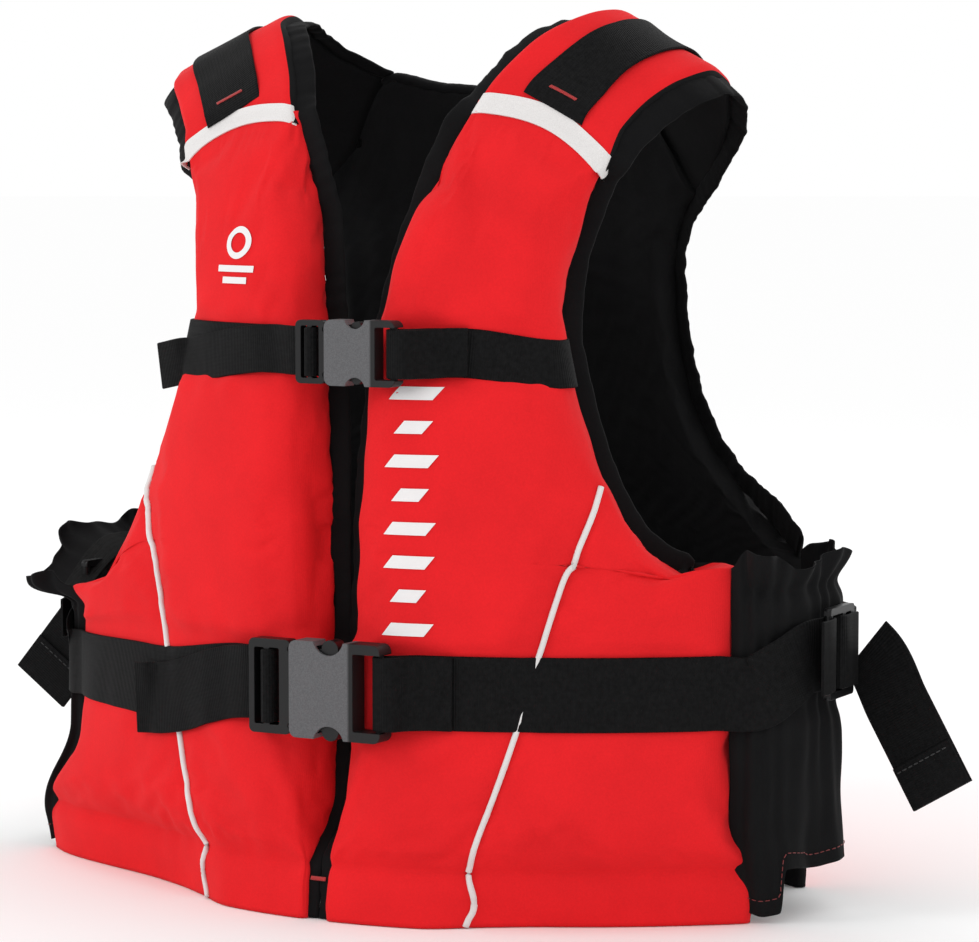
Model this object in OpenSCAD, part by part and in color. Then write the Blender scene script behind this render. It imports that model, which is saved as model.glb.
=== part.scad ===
// A foam-filled buoyancy vest: two front panels and a back panel under red
// cloth, gathered black sides, webbed shoulders, and a chest and a waist belt
// closed by side-release buckles. Millimetres. +Z is up, the front faces -Y
// and +X is the wearer's left. The vest stands on its hems at Z = 0.

/* [Body] */
// Height from the hems to the top of the shoulders
vest_h = 468; // [450:1:490]
// Half width at the gathered sides
half_w = 227; // [220:1:236]
// Thickness of a front panel
front_t = 34; // [28:1:36]
// Thickness of the back panel
back_t = 30; // [24:1:32]
// Thickness of a shoulder yoke
yoke_t = 12; // [9:1:14]
// Thickness of one layer of cloth
cloth_t = 1; // [0.8:0.1:1.2]
// Height of the flat hem bands
hem_h = 27.4; // [22:0.1:27.4]
// Thickness of the flat hem bands
hem_t = 10; // [8:1:12]

/* [Belts] */
// Width of the chest webbing
chest_web = 25; // [20:1:26]
// Width of the waist and shoulder webbing
waist_web = 38; // [34:1:40]
// Width of the reflective tape
tape_w = 11; // [9:1:14]
// Thickness of all webbing
web_t = 1.5; // [1.2:0.1:1.6]
// Height of the chest belt's middle
chest_z = 291; // [285:1:297]
// Height of the waist belt's middle
waist_z = 120; // [112:1:128]
// How far the free tails reach from the middle of the body
tail_reach = 297; // [285:1:310]

/* [Buckles] */
// Length of the chest buckle's socket
chest_socket_l = 42; // [40:1:44]
// Length of the waist buckle's socket
waist_socket_l = 54; // [52:1:56]
// Thickness of the chest buckle
chest_buckle_t = 9; // [9:0.5:10]
// Thickness of the waist buckle
waist_buckle_t = 12; // [11:0.5:13]
// Running gap between plastic pieces
play = 0.4; // [0.3:0.05:0.5]

/* [Hidden] */

red = "#d8282c";
dark = "#17181a";
white = "#dcd8d6";
grey = "#5f6063";
foam_grey = "#b9bcbf";

kx = half_w / 227;
kz = vest_h / 468;
fine = 48;
edge_round = 12;          // how far the padding rolls over at a panel's edge
layer_gap = 0.6;          // clearance between cloth and what it covers
web_lift = 1.6;           // from the cloth to the middle of webbing lying on it
bar_r = 2;                // half thickness of the bars that webbing turns round
turn_r = bar_r + 0.45 + web_t / 2;
// Shift that puts the origin midway between the waist buckle and the back
mid_y = 9.74;

// Front panel outline, hem to shoulder: inner x, inner z, outer x, outer z
panel_rows = [
    [6, 28, 206, 28], [7, 62, 200, 62], [8, 100, 199, 100], [10, 140, 199, 140],
    [11, 165, 199, 166], [12, 186, 198, 182], [12, 201, 182, 178], [13, 216, 162, 189],
    [14, 233, 149, 206], [17, 263, 134, 240], [21, 293, 124, 272], [26, 323, 117, 305],
    [32, 351, 118, 335], [41, 380, 122, 360], [52, 410, 126, 380],
];
// Where the piped seam crosses each row, as a share of the row
seam_share = [[0, 0.38], [3, 0.545], [5, 0.62], [8, 0.95]];
last_side_row = 8;
// Front face along the middle: height, y. It leans back towards the neck
front_mid = [
    [0, -146], [28, -145], [62, -139], [100, -136], [140, -135], [226, -132], [268, -128],
    [307, -123], [343, -116], [380, -103], [410, -87],
];
front_curl = [[0, 0.0021], [180, 0.0021], [226, 0.0024], [300, 0.0030], [343, 0.0026], [380, 0.0022]];

// Back panel outline, hem to neck: half width, z at the middle, z at the edge
back_rows = [
    [190, 28, 28], [194, 62, 62], [196, 100, 100], [196, 140, 140], [196, 176, 175],
    [186, 200, 187], [163, 225, 204], [131, 255, 233], [112, 290, 273], [107, 325, 309],
    [107, 358, 336], [112, 392, 352],
];
// Top edge of the back panel: distance from the middle, z
back_top = [[0, 423], [50, 427], [74, 432], [118, 366]];
back_mid = [
    [0, 129], [62, 130], [140, 128], [226, 123], [300, 116], [360, 106], [400, 96], [432, 84],
];
back_curl = 0.0018;

// Shoulder yoke, front tape to back: neck-side point, arm-side point
yoke_rows = [
    [[53, -78, 412], [127, -71, 382]], [[62, -63, 432], [134, -60, 401]],
    [[76, -46, 452], [149, -44, 418]], [[90, -26, 464], [166, -24, 431]],
    [[98, 0, 468], [173, 0, 436]], [[101, 24, 462], [171, 22, 430]],
    [[98, 44, 451], [159, 41, 414]], [[88, 61, 441], [139, 59, 394]],
    [[78, 75, 434], [119, 77, 369]],
];

// Plan of a gathered side: an ellipse arc from the front edge to the back edge
gusset_mid = [196, -5];
gusset_r = [31, 50];
gusset_span = 88;
gusset_bottom = 28;
gusset_top = 184;
gusset_t = 5;
puff = 2.5;               // depth of the gathers
puffs = 6;

function mix(a, b, t) = a + (b - a) * t;
function unit(v) = v / norm(v);
function eased(t) = (1 - cos(180 * t)) / 2;

// --- surfaces -------------------------------------------------------------

function front_y(x, z) = mid_y + lookup(z, front_mid) + lookup(z, front_curl) * x * x;
function back_y(x, z) = mid_y + lookup(z, back_mid) - back_curl * x * x;
function on_front(x, z) = [x * kx, front_y(x, z), z * kz];
function on_back(x, z) = [x * kx, back_y(x, z), z * kz];

// Inward direction at one point of a grid of points, level or square to it
function inward(g, i, j, level) =
    let (rows = len(g) - 1, cols = len(g[0]) - 1)
    let (along = g[min(i + 1, rows)][j] - g[max(i - 1, 0)][j])
    let (across = g[i][min(j + 1, cols)] - g[i][max(j - 1, 0)])
    let (square = cross(along, across))
    unit(level ? [square[0], square[1], 0] : square);

// The grid moved inward by d, one number or one number for each point
function pushed(g, d, level = true) = [
    for (i = [0 : len(g) - 1]) [
        for (j = [0 : len(g[0]) - 1])
            g[i][j] + (is_list(d) ? d[i][j] : d) * inward(g, i, j, level)
    ]
];

// A closed solid between two grids of the same size, the first one outside
module slab(outer, inner) {
    rows = len(outer);
    cols = len(outer[0]);
    top = rows - 1;
    right = cols - 1;
    behind = rows * cols;
    at = function (i, j) i * cols + j;
    polyhedron(
        points = concat([for (r = outer) each r], [for (r = inner) each r]),
        faces = [
            for (i = [0 : top - 1], j = [0 : right - 1])
                let (a = at(i, j), b = at(i + 1, j), c = at(i + 1, j + 1), d = at(i, j + 1))
                each [[a, b, c], [a, c, d], [a, c, b] + [1, 1, 1] * behind,
                      [a, d, c] + [1, 1, 1] * behind],
            for (j = [0 : right - 1])
                let (a = at(0, j), b = at(0, j + 1), c = at(top, j), d = at(top, j + 1))
                each [[a, b, b + behind], [a, b + behind, a + behind],
                      [d, c, c + behind], [d, c + behind, d + behind]],
            for (i = [0 : top - 1])
                let (a = at(i, 0), b = at(i + 1, 0), c = at(i, right), d = at(i + 1, right))
                each [[b, a, a + behind], [b, a + behind, b + behind],
                      [c, d, d + behind], [c, d + behind, c + behind]],
        ],
        convexity = 6
    );
}

// A flat band of width w and thickness t along a path. wide gives the
// direction of its width, once for the whole path or once for each point
module ribbon(path, w, t, wide = [0, 0, 1]) {
    last = len(path) - 1;
    frames = [
        for (i = [0 : last])
            let (along = unit(path[min(i + 1, last)] - path[max(i - 1, 0)]))
            let (given = is_list(wide[0]) ? wide[i] : wide)
            let (up = unit(given - (given * along) * along))
            [up * w / 2, cross(along, -up) * t / 2]
    ];
    slab(
        [for (i = [0 : last]) [path[i] + frames[i][0] - frames[i][1], path[i] - frames[i][0] - frames[i][1]]],
        [for (i = [0 : last]) [path[i] + frames[i][0] + frames[i][1], path[i] - frames[i][0] + frames[i][1]]]
    );
}

// Points round a vertical bar at c, from angle a0 to a1, at height z
function turn(c, r, a0, a1, z, steps = 6) = [
    for (k = [0 : steps])
        let (a = mix(a0, a1, k / steps))
        [c[0] + r * cos(a), c[1] + r * sin(a), z]
];

module both(side) {
    if (side > 0) children();
    else mirror([1, 0, 0]) children();
}

// --- front panels ---------------------------------------------------------

function seam_at(i) = i > last_side_row ? 1 : lookup(i, seam_share);
function row_x(i, a) = mix(panel_rows[i][0], panel_rows[i][2], a);
function row_z(i, a) = mix(panel_rows[i][1], panel_rows[i][3], a);
function panel_point(i, a) = on_front(row_x(i, a), row_z(i, a));

// How far the cover lies below the flat face, near a panel's edges
function rolled(i, a) =
    let (gap = (panel_rows[i][2] - panel_rows[i][0]) * min(a, 1 - a))
    gap >= edge_round ? 0 : edge_round - sqrt(pow(edge_round, 2) - pow(edge_round - gap, 2));

// The shares across each row of a grid, edges left out by inset millimetres
function shares(rows, from, to, cols, inset) = [
    for (i = rows)
        let (w = panel_rows[i][2] - panel_rows[i][0], a0 = from[i] + inset / w, a1 = to[i] - inset / w)
        [for (j = [0 : cols]) mix(a0, a1, eased(j / cols))]
];

all_rows = [0 : len(panel_rows) - 1];
side_rows = [0 : last_side_row];
inner_edge = [for (i = all_rows) 0];
outer_edge = [for (i = all_rows) 1];
seam_edge = [for (i = all_rows) seam_at(i)];
// The padding thins towards the shoulder
function front_depth(i) = front_t * lookup(i, [[12, 1], [14, 0.55]]);

function face(rows, share) = [for (k = [0 : len(share) - 1]) [for (a = share[k]) panel_point(rows[k], a)]];
function roll_depths(rows, share, extra) = [
    for (k = [0 : len(share) - 1]) [for (a = share[k]) rolled(rows[k], a) + extra]
];

module front_foam() {
    rows = [for (i = all_rows) i];
    share = shares(rows, inner_edge, outer_edge, 10, cloth_t + layer_gap);
    g = face(rows, share);
    far = [for (i = rows) [for (a = share[i]) front_depth(i) - cloth_t - layer_gap]];
    slab(pushed(g, roll_depths(rows, share, cloth_t + layer_gap)), pushed(g, far));
}

// A cover: the face between two edges, with a wall of cloth at each edge
module cover(rows, from, to, cols, wall_from, wall_to) {
    outer_share = shares(rows, from, to, cols, 0);
    inner_share = shares(rows, from, to, cols, cloth_t);
    outer_face = face(rows, outer_share);
    inner_face = face(rows, inner_share);
    skin = pushed(outer_face, roll_depths(rows, outer_share, 0));
    under = pushed(inner_face, roll_depths(rows, inner_share, cloth_t));
    low = pushed(outer_face, [for (i = rows) [for (j = [0 : cols]) j * 2 < cols ? wall_from[i] : wall_to[i]]]);
    low_in = pushed(inner_face, [for (i = rows) [for (j = [0 : cols]) j * 2 < cols ? wall_from[i] : wall_to[i]]]);
    slab(
        [for (k = [0 : len(rows) - 1]) concat([low[k][0]], skin[k], [low[k][cols]])],
        [for (k = [0 : len(rows) - 1]) concat([low_in[k][0]], under[k], [low_in[k][cols]])]
    );
}

wall_depth = [for (i = all_rows) front_depth(i) - cloth_t];
seam_allowance = edge_round / 3;

module front_shell() {
    rows = [for (i = all_rows) i];
    far_wall = [for (i = rows) i > last_side_row ? wall_depth[i] : seam_allowance];
    cover(rows, inner_edge, [for (i = rows) seam_at(i) < 1 ? seam_at(i) - 0.005 : 1], 8, wall_depth, far_wall);
}

module side_shell() {
    rows = [for (i = side_rows) i];
    cover(rows, [for (i = all_rows) min(seam_at(i) + 0.005, 0.96)], outer_edge, 6,
        [for (i = all_rows) seam_allowance], wall_depth);
}

module front_lining() {
    rows = [for (i = all_rows) i];
    g = face(rows, shares(rows, inner_edge, outer_edge, 6, 0.4));
    slab(
        pushed(g, [for (i = rows) [for (j = [0 : 6]) front_depth(i) - cloth_t / 2]]),
        pushed(g, [for (i = rows) [for (j = [0 : 6]) front_depth(i) + cloth_t / 2]])
    );
}

// The way inward at a panel's face, used as the width of edge strips
function edge_in(i, a) =
    let (x = row_x(i, a), m = 2 * lookup(row_z(i, a), front_curl) * x)
    unit([-m, 1, 0]);

module piping() {
    last = last_side_row;
    path = [for (i = side_rows) panel_point(i, seam_at(i)) - 1.9 * edge_in(i, seam_at(i))];
    ribbon(path, 3, 3, [for (i = side_rows) edge_in(i, seam_at(i))]);
}

binding_w = 12;
binding_t = 1.4;

// A strip of black binding along the back half of a panel's edge wall
module edge_binding(share, first, out) {
    path = [
        for (i = [first : len(panel_rows) - 1])
            panel_point(i, share) + [out * 1.4, 0, 0] + edge_in(i, share) * (front_depth(i) - binding_w / 2 + 1)
    ];
    ribbon(path, binding_w, binding_t, [for (i = [first : len(panel_rows) - 1]) edge_in(i, share)]);
}

module centre_binding() { edge_binding(0, 0, -1); }

// The arm binding starts on top of the side panel, where the edge turns level
module arm_binding() {
    first = 7;
    path = [
        for (i = [first : len(panel_rows) - 1])
            let (inward_dir = edge_in(i, 1))
            panel_point(i, 1) + [1.3, 0, 1] + inward_dir * (front_depth(i) - binding_w / 2 + 1)
    ];
    ribbon(path, binding_w, binding_t, [for (i = [first : len(panel_rows) - 1]) edge_in(i, 1)]);
}

module reflective_tape() {
    top = len(panel_rows) - 1;
    share = [for (j = [0 : 10]) eased(j / 10)];
    row = function (down) [
        for (a = share) on_front(row_x(top, a) - 0.3 * (1 - a) * down - 0.12 * a * down, row_z(top, a) - down)
    ];
    g = [row(tape_w + 2), row(tape_w / 2 + 2), row(2)];
    roll = [for (k = [0 : 2]) [for (a = share) rolled(top, a)]];
    slab(pushed(g, roll - [for (k = [0 : 2]) [for (a = share) 1.2]]),
        pushed(g, roll - [for (k = [0 : 2]) [for (a = share) 0.4]]));
}

// A hem band between two depths behind the front face, standing on the floor
module front_hem() {
    near = edge_round / 3;
    xs = [for (j = [0 : 12]) mix(9, 200, j / 12)];
    outline = concat(
        [for (x = xs) hem_point(x, near)],
        [for (j = [12 : -1 : 0]) hem_point(xs[j], near + hem_t)]
    );
    linear_extrude(hem_h * kz) polygon(outline);
}
function hem_point(x, d) =
    let (m = 2 * front_curl[0][1] * x, y = front_y(x, hem_h))
    [x * kx - d * m / norm([m, 1]), y + d / norm([m, 1])];

// --- back panel -----------------------------------------------------------

function back_z(i, x) =
    i == len(back_rows) ? lookup(abs(x), back_top)
    : mix(back_rows[i][1], back_rows[i][2], pow(abs(x) / back_rows[i][0], 2));
function back_half(i) = i == len(back_rows) ? 116 : back_rows[i][0];
function back_grid(cols, inset) = [
    for (i = [0 : len(back_rows)]) [
        for (j = [0 : cols])
            let (x = (back_half(i) - inset) * (1 - 2 * j / cols))
            on_back(x, back_z(i, x))
    ]
];
function back_depth(i) = back_t * lookup(i, [[9, 1], [12, 0.4]]);
function back_roll(j, cols) = j == 0 || j == cols ? edge_round : 0;

module back_foam() {
    cols = 12;
    inset = cloth_t + layer_gap;
    g = back_grid(cols, inset);
    slab(
        pushed(g, [for (i = [0 : len(back_rows)]) [for (j = [0 : cols]) inset + back_roll(j, cols) / 2]]),
        pushed(g, [for (i = [0 : len(back_rows)]) [for (j = [0 : cols]) back_depth(i) - inset]])
    );
}

module back_shell() {
    cols = 12;
    g = back_grid(cols, 0);
    h = back_grid(cols, cloth_t);
    near = [for (i = [0 : len(back_rows)]) [for (j = [0 : cols]) back_roll(j, cols) / 2]];
    near_in = [for (i = [0 : len(back_rows)]) [for (j = [0 : cols]) back_roll(j, cols) / 2 + cloth_t]];
    low = [for (i = [0 : len(back_rows)]) [for (j = [0 : cols]) back_depth(i) - cloth_t]];
    skin = pushed(g, near);
    under = pushed(h, near_in);
    wall = pushed(g, low);
    wall_in = pushed(h, low);
    slab(
        [for (i = [0 : len(back_rows)]) concat([wall[i][0]], skin[i], [wall[i][cols]])],
        [for (i = [0 : len(back_rows)]) concat([wall_in[i][0]], under[i], [wall_in[i][cols]])]
    );
}

module back_lining() {
    cols = 10;
    g = back_grid(cols, 0.4);
    slab(
        pushed(g, [for (i = [0 : len(back_rows)]) [for (j = [0 : cols]) back_depth(i) - cloth_t / 2]]),
        pushed(g, [for (i = [0 : len(back_rows)]) [for (j = [0 : cols]) back_depth(i) + cloth_t / 2]])
    );
}

module back_hem() {
    near = edge_round / 3;
    point = function (x, d) [x * kx, back_y(x, hem_h) - d];
    xs = [for (j = [0 : 14]) mix(184, -184, j / 14)];
    linear_extrude(hem_h * kz)
        polygon(concat([for (x = xs) point(x, near)], [for (j = [14 : -1 : 0]) point(xs[j], near + hem_t)]));
}

module back_neck_binding() {
    xs = [for (j = [0 : 12]) mix(72, -72, j / 12)];
    path = [for (x = xs) on_back(x, lookup(abs(x), back_top) + 1.6) + [0, -back_t * 0.2, 0]];
    ribbon(path, binding_w, binding_t, [0, 1, 0]);
}

// --- shoulders ------------------------------------------------------------

function scaled(p) = [p[0] * kx, p[1] + mid_y, p[2] * kz];
function yoke_grid(from, to, cols) = [
    for (r = yoke_rows) [for (j = [0 : cols]) scaled(mix(r[0], r[1], mix(from, to, j / cols)))]
];

module shoulder_yoke() {
    g = yoke_grid(0, 1, 4);
    slab(g, pushed(g, yoke_t, false));
}

module shoulder_webbing() {
    middle = yoke_grid(0.5, 0.5, 1);
    g = yoke_grid(0.5 - waist_web / 165, 0.5 + waist_web / 165, 3);
    slab(pushed(g, -0.4 - web_t, false), pushed(g, -0.4, false));
}

// --- gathered sides -------------------------------------------------------

function gusset_point(t, z, out) = [
    (gusset_mid[0] + (gusset_r[0] + out) * cos(t)) * kx,
    mid_y + gusset_mid[1] + (gusset_r[1] + out) * sin(t),
    z * kz
];
function gather(z) = puff * sin(360 * puffs * (z - gusset_bottom) / (gusset_top - gusset_bottom));

module gusset() {
    zs = [for (k = [0 : 12]) mix(gusset_bottom, gusset_top, k / 12)];
    ts = [for (k = [0 : 10]) mix(-gusset_span, gusset_span, k / 10)];
    slab(
        [for (z = zs) [for (t = ts) gusset_point(t, z, -puff / 2)]],
        [for (z = zs) [for (t = ts) gusset_point(t, z, -puff / 2 - gusset_t)]]
    );
}

module gusset_elastic() {
    path = [for (k = [0 : 10]) gusset_point(mix(-gusset_span + 8, gusset_span - 8, k / 10), gusset_top - 12,
        -puff / 2 - gusset_t - 1.6)];
    ribbon(path, 12, 1.2);
}

// --- buckles --------------------------------------------------------------

// A flat shape in X and Z, drawn out to -Y by t from y
module plate(y, t) { translate([0, y, 0]) rotate([90, 0, 0]) linear_extrude(t) children(); }

module rounded_box(x0, x1, half_h, r) {
    polygon([
        for (c = [[x1 - r, half_h - r, 0], [x0 + r, half_h - r, 90], [x0 + r, r - half_h, 180], [x1 - r, r - half_h, 270]])
            for (k = [0 : 6])
                [c[0] + r * cos(c[2] + k * 15), c[1] + r * sin(c[2] + k * 15)]
    ]);
}

function buckle_half(web) = web / 2 + web * 0.13 + 1;
buckle_wall = 1.6;
catch_wall = 2.6;
function cavity_l(socket_l) = socket_l * 0.66;
function plug_depth(t) = t - 2 * buckle_wall - 2 * play;
function arm_z(web) = buckle_half(web) - catch_wall - 2.6;

// The socket: hollow for the plug's prongs, scalloped where they show, with a
// bar for the webbing at its far end
module socket(web, socket_l, t) {
    half = buckle_half(web);
    bar_x = socket_l - bar_r - 1;
    translate([bar_x, -t / 2, 0]) cylinder(r = bar_r, h = 2 * half - 4, center = true, $fn = fine);
    difference() {
        plate(0, t) rounded_box(play, socket_l, half, 4);
        translate([-1, -t + buckle_wall, catch_wall - half])
            cube([cavity_l(socket_l) + 1, t - 2 * buckle_wall, 2 * (half - catch_wall)]);
        for (s = [-1, 1])
            translate([socket_l * 0.44, 1, s * (half + web * 0.06)])
                rotate([90, 0, 0]) cylinder(r = web * 0.24, h = t + 2, $fn = fine);
        plate(1, t + 2) rounded_box(cavity_l(socket_l) + 2.5, socket_l + 3, web / 2 + 0.8, 1);
    }
}

// The plug: a ladder frame for the webbing and the middle guide
module plug(web, socket_l, t) {
    half = buckle_half(web);
    len = plug_len(web);
    depth = plug_depth(t);
    y = -buckle_wall - play;
    difference() {
        union() {
            plate(y, depth) rounded_box(-len, 0, half - 0.6, 3);
            plate(y, depth) rounded_box(-4, cavity_l(socket_l) - 2, 2.2, 1);
        }
        for (x = [-len + 3.2, -len + 3.2 + len * 0.36])
            plate(y + 1, depth + 2) rounded_box(x, x + len * 0.24, web / 2 + 0.8, 1);
        for (s = [-1, 1])
            translate([0, y + 1, s * arm_z(web)]) rotate([90, 0, 0])
                cylinder(r = 1.3 + play, h = depth + 2, $fn = fine);
    }
}

// One prong: a root knuckle on its flexing axis, an arm and a release pad
module prong(web, socket_l, t, s) {
    depth = plug_depth(t);
    y = -buckle_wall - play;
    z = s * arm_z(web);
    pad_x = socket_l * 0.44;
    pad_r = web * 0.13;
    translate([0, 0, z]) {
        translate([0, y, 0]) rotate([90, 0, 0]) cylinder(r = 1.3, h = depth, $fn = fine);
        plate(y, depth) rounded_box(0, pad_x + pad_r, 1.2, 0.6);
        translate([pad_x, y, s * 1.1]) rotate([90, 0, 0]) cylinder(r = pad_r, h = depth, $fn = fine);
    }
}

chest_x = 5;
waist_x = -10;
chest_y = front_y(30, chest_z - chest_web / 2) - 5.5;
waist_y = front_y(30, waist_z - waist_web / 2) - 3.4;

module at_chest() { translate([chest_x, chest_y, chest_z * kz]) children(); }
module at_waist() { translate([waist_x, waist_y, waist_z * kz]) children(); }

// --- belts ----------------------------------------------------------------

function chest_bar() = [chest_x + chest_socket_l - bar_r - 1, chest_y - chest_buckle_t / 2];
function waist_bar() = [waist_x + waist_socket_l - bar_r - 1, waist_y - waist_buckle_t / 2];
function plug_len(web) = web * 0.55 + 4;
// The plug's bar that the webbing turns round, between its two slots
function plug_bar_x(web) = -plug_len(web) + 3.2 + plug_len(web) * 0.30;

// Points on webbing lying on a front panel, from x0 to x1, up to lift off it
function lying(x0, x1, z, lift, steps) = [
    for (k = [0 : steps])
        let (x = mix(x0, x1, k / steps))
        [x * kx, front_y(x, z - waist_web / 3) - lift, z * kz]
];

// Chest belt on the socket's side, sewn into the arm edge at its outer end
module chest_webbing_left() {
    bar = chest_bar();
    path = concat(
        [[129, -58 + mid_y, 283 * kz], [126, -79 + mid_y, 284 * kz], [117, front_y(117, 280) - 3, 287 * kz]],
        [for (p = lying(104, bar[0] + 14, chest_z, 2.2, 5)) p],
        turn(bar, turn_r, 90, 270, chest_z * kz),
        [[bar[0] + 6, bar[1] - turn_r, chest_z * kz], [bar[0] + 18, front_y(bar[0] + 18, chest_z) - 6.5, chest_z * kz],
         [bar[0] + 30, front_y(bar[0] + 30, chest_z) - 6.1, chest_z * kz]]
    );
    ribbon(path, chest_web, web_t);
}

// Webbing round a plug's bar: in behind both bars, up through the inner slot,
// over the bar, down through the outer slot and back out behind the end bar
function plug_turn(bar, web, buckle_t, z) =
    let (h = plug_depth(buckle_t) / 2, reach = plug_len(web) * 0.06 + 0.45 + web_t / 2)
    let (near = h + 0.45 + web_t / 2, far = near + web_t + 0.4)
    [
        for (p = [[-plug_len(web) * 0.6, far], [reach * 0.6, far - 0.2], [reach, h * 0.8], [reach, -h * 0.8],
                  [reach * 0.7, -near], [-reach * 0.7, -near], [-reach, -h * 0.8], [-reach, h * 0.4],
                  [-reach - 2.2, near + 0.2], [-plug_len(web) * 0.62, near]])
            [bar[0] + p[0], bar[1] + p[1], z]
    ];

// Chest belt on the plug's side: sewn end, turn round the plug's bar, free end
module chest_webbing_right() {
    bar = [chest_x + plug_bar_x(chest_web), chest_y - chest_buckle_t / 2];
    path = concat(
        [[-129, -58 + mid_y, 283 * kz], [-126, -79 + mid_y, 284 * kz], [-117, front_y(117, 280) - 3, 287 * kz]],
        lying(-104, bar[0] - 20, chest_z, 2.2, 6),
        plug_turn(bar, chest_web, chest_buckle_t, chest_z * kz),
        lying(bar[0] - 20, -104, chest_z, 4.6, 6),
        [[-120, front_y(117, 280) - 5.4, 286 * kz], [-138, front_y(128, 280) - 6, 280 * kz]]
    );
    ribbon(path, chest_web, web_t);
}

// The adjuster sits on the gathered side. Its front bar is the tilt axis
adjuster_t = 4;
adjuster_l = 30;
adjuster_angle = -10;     // where its front bar stands round the side
adjuster_z = 137;
side_lift = web_t / 2 - 0.35; // webbing presses the gathers down
adjuster_axis = gusset_point(adjuster_angle, adjuster_z, side_lift + bar_r + 1);
adjuster_turn = 92;       // heading of its length, from +X towards +Y

function in_adjuster(u, n) = [
    adjuster_axis[0] + u * cos(adjuster_turn) + n * sin(adjuster_turn),
    adjuster_axis[1] + u * sin(adjuster_turn) - n * cos(adjuster_turn),
    adjuster_z * kz
];

// Waist belt from its turn round the socket's bar to the adjuster's front bar
module waist_webbing_left() {
    bar = waist_bar();
    path = concat(
        [[bar[0] + 34, front_y(bar[0] + 34, waist_z) - 7.4, waist_z * kz],
         [bar[0] + 20, front_y(bar[0] + 20, waist_z) - 7.8, waist_z * kz],
         [bar[0] + 6, bar[1] - turn_r, waist_z * kz]],
        turn(bar, turn_r, 270, 90, waist_z * kz),
        lying(bar[0] + 14, 192, waist_z, 2.8, 8),
        side_route(),
        turn_in_adjuster()
    );
    ribbon(path, waist_web, web_t);
}
function side_route() = [
    for (k = [0 : 3])
        gusset_point(mix(-66, adjuster_angle - 18, k / 3), mix(waist_z + 1, adjuster_z - 1, k / 3), side_lift)
];
function turn_in_adjuster() = [
    for (k = [0 : 6])
        let (a = mix(-90, 90, k / 6))
        in_adjuster(turn_r * cos(a), turn_r * sin(a)),
    in_adjuster(-8, 4.6),
    in_adjuster(-18, 4.0),
];

// Waist belt on the plug's side: free end, turn round the plug's bar, adjuster
module waist_webbing_right() {
    bar = [waist_x + plug_bar_x(waist_web), waist_y - waist_buckle_t / 2];
    round_bar = plug_turn(bar, waist_web, waist_buckle_t, waist_z * kz);
    path = concat(
        lying(-126, bar[0] - 26, waist_z, 5.4, 6),
        [for (k = [len(round_bar) - 1 : -1 : 0]) round_bar[k]],
        lying(bar[0] - 26, -192, waist_z, 2.8, 8),
        [for (p = side_route()) [-p[0], p[1], p[2]]],
        [for (p = turn_in_adjuster()) [-p[0], p[1], p[2]]]
    );
    ribbon(path, waist_web, web_t);
}

module adjuster() {
    translate(adjuster_axis) rotate([0, 0, adjuster_turn]) {
        cylinder(r = bar_r, h = waist_web + 9, center = true, $fn = fine);
        difference() {
            translate([0, adjuster_t / 2, 0])
                plate(0, adjuster_t) rounded_box(-bar_r, adjuster_l, waist_web / 2 + 4.5, 2);
            translate([0, adjuster_t, 0]) plate(0, 2 * adjuster_t) rounded_box(-bar_r - 3, 14, waist_web / 2 + 0.8, 0.5);
            translate([0, adjuster_t, 0]) plate(0, 2 * adjuster_t) rounded_box(18.5, 25.5, waist_web / 2 + 0.8, 1);
        }
    }
}

// Webbing from the back seam, under the adjuster and round its middle bar
module anchor_webbing() {
    z = adjuster_z * kz;
    path = [
        [150 * kx, back_y(150, adjuster_z) + 1.5, z],
        [172 * kx, back_y(172, adjuster_z) + 1.6, z],
        [190 * kx, back_y(190, adjuster_z) + 2.4, z],
        in_adjuster(44, -3.6),
        in_adjuster(30, -3.4),
        in_adjuster(14, -3.2),
        in_adjuster(11.6, -2.4),
        in_adjuster(11.0, 0),
        in_adjuster(11.6, 2.4),
        in_adjuster(14, 3.2),
        in_adjuster(24, 3.3),
        in_adjuster(31, 3.4),
    ];
    ribbon(path, waist_web, web_t);
}

// A free tail from just past the adjuster, turned from upright to its own
// slope. Its far corners stop at tail_reach
module tail(lean, drop) {
    start = in_adjuster(34.5, 6.5);
    dir = unit([1, lean, -drop]);
    wide = unit([0, 0, 1] - dir[2] * dir);
    level = unit([1, lean, -drop / 3]);
    knee = start + level * 14;
    side = unit(cross(dir, wide));
    stop_x = tail_reach - abs(wide[0]) * waist_web / 2 - abs(side[0]) * web_t / 2;
    far = knee + dir * (stop_x - knee[0]) / dir[0];
    ribbon([start, knee, mix(knee, far, 0.5), far], waist_web, web_t,
        [[0, 0, 1], unit([0, 0, 1] + wide), wide, wide]);
}

// --- nodes ----------------------------------------------------------------

module left_front_foam() { color(foam_grey) front_foam(); }
module right_front_foam() { color(foam_grey) both(-1) front_foam(); }
module left_front_shell() { color(red) front_shell(); }
module right_front_shell() { color(red) both(-1) front_shell(); }
module left_side_shell() { color(red) side_shell(); }
module right_side_shell() { color(red) both(-1) side_shell(); }
module left_front_lining() { color(dark) front_lining(); }
module right_front_lining() { color(dark) both(-1) front_lining(); }
module left_piping() { color(white) piping(); }
module right_piping() { color(white) both(-1) piping(); }
module left_reflective_tape() { color(white) reflective_tape(); }
module right_reflective_tape() { color(white) both(-1) reflective_tape(); }
module left_front_hem() { color(red) front_hem(); }
module right_front_hem() { color(red) both(-1) front_hem(); }
module left_centre_binding() { color(dark) centre_binding(); }
module right_centre_binding() { color(dark) both(-1) centre_binding(); }
module left_arm_binding() { color(dark) arm_binding(); }
module right_arm_binding() { color(dark) both(-1) arm_binding(); }
module left_shoulder_yoke() { color(red) shoulder_yoke(); }
module right_shoulder_yoke() { color(red) both(-1) shoulder_yoke(); }
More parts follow.
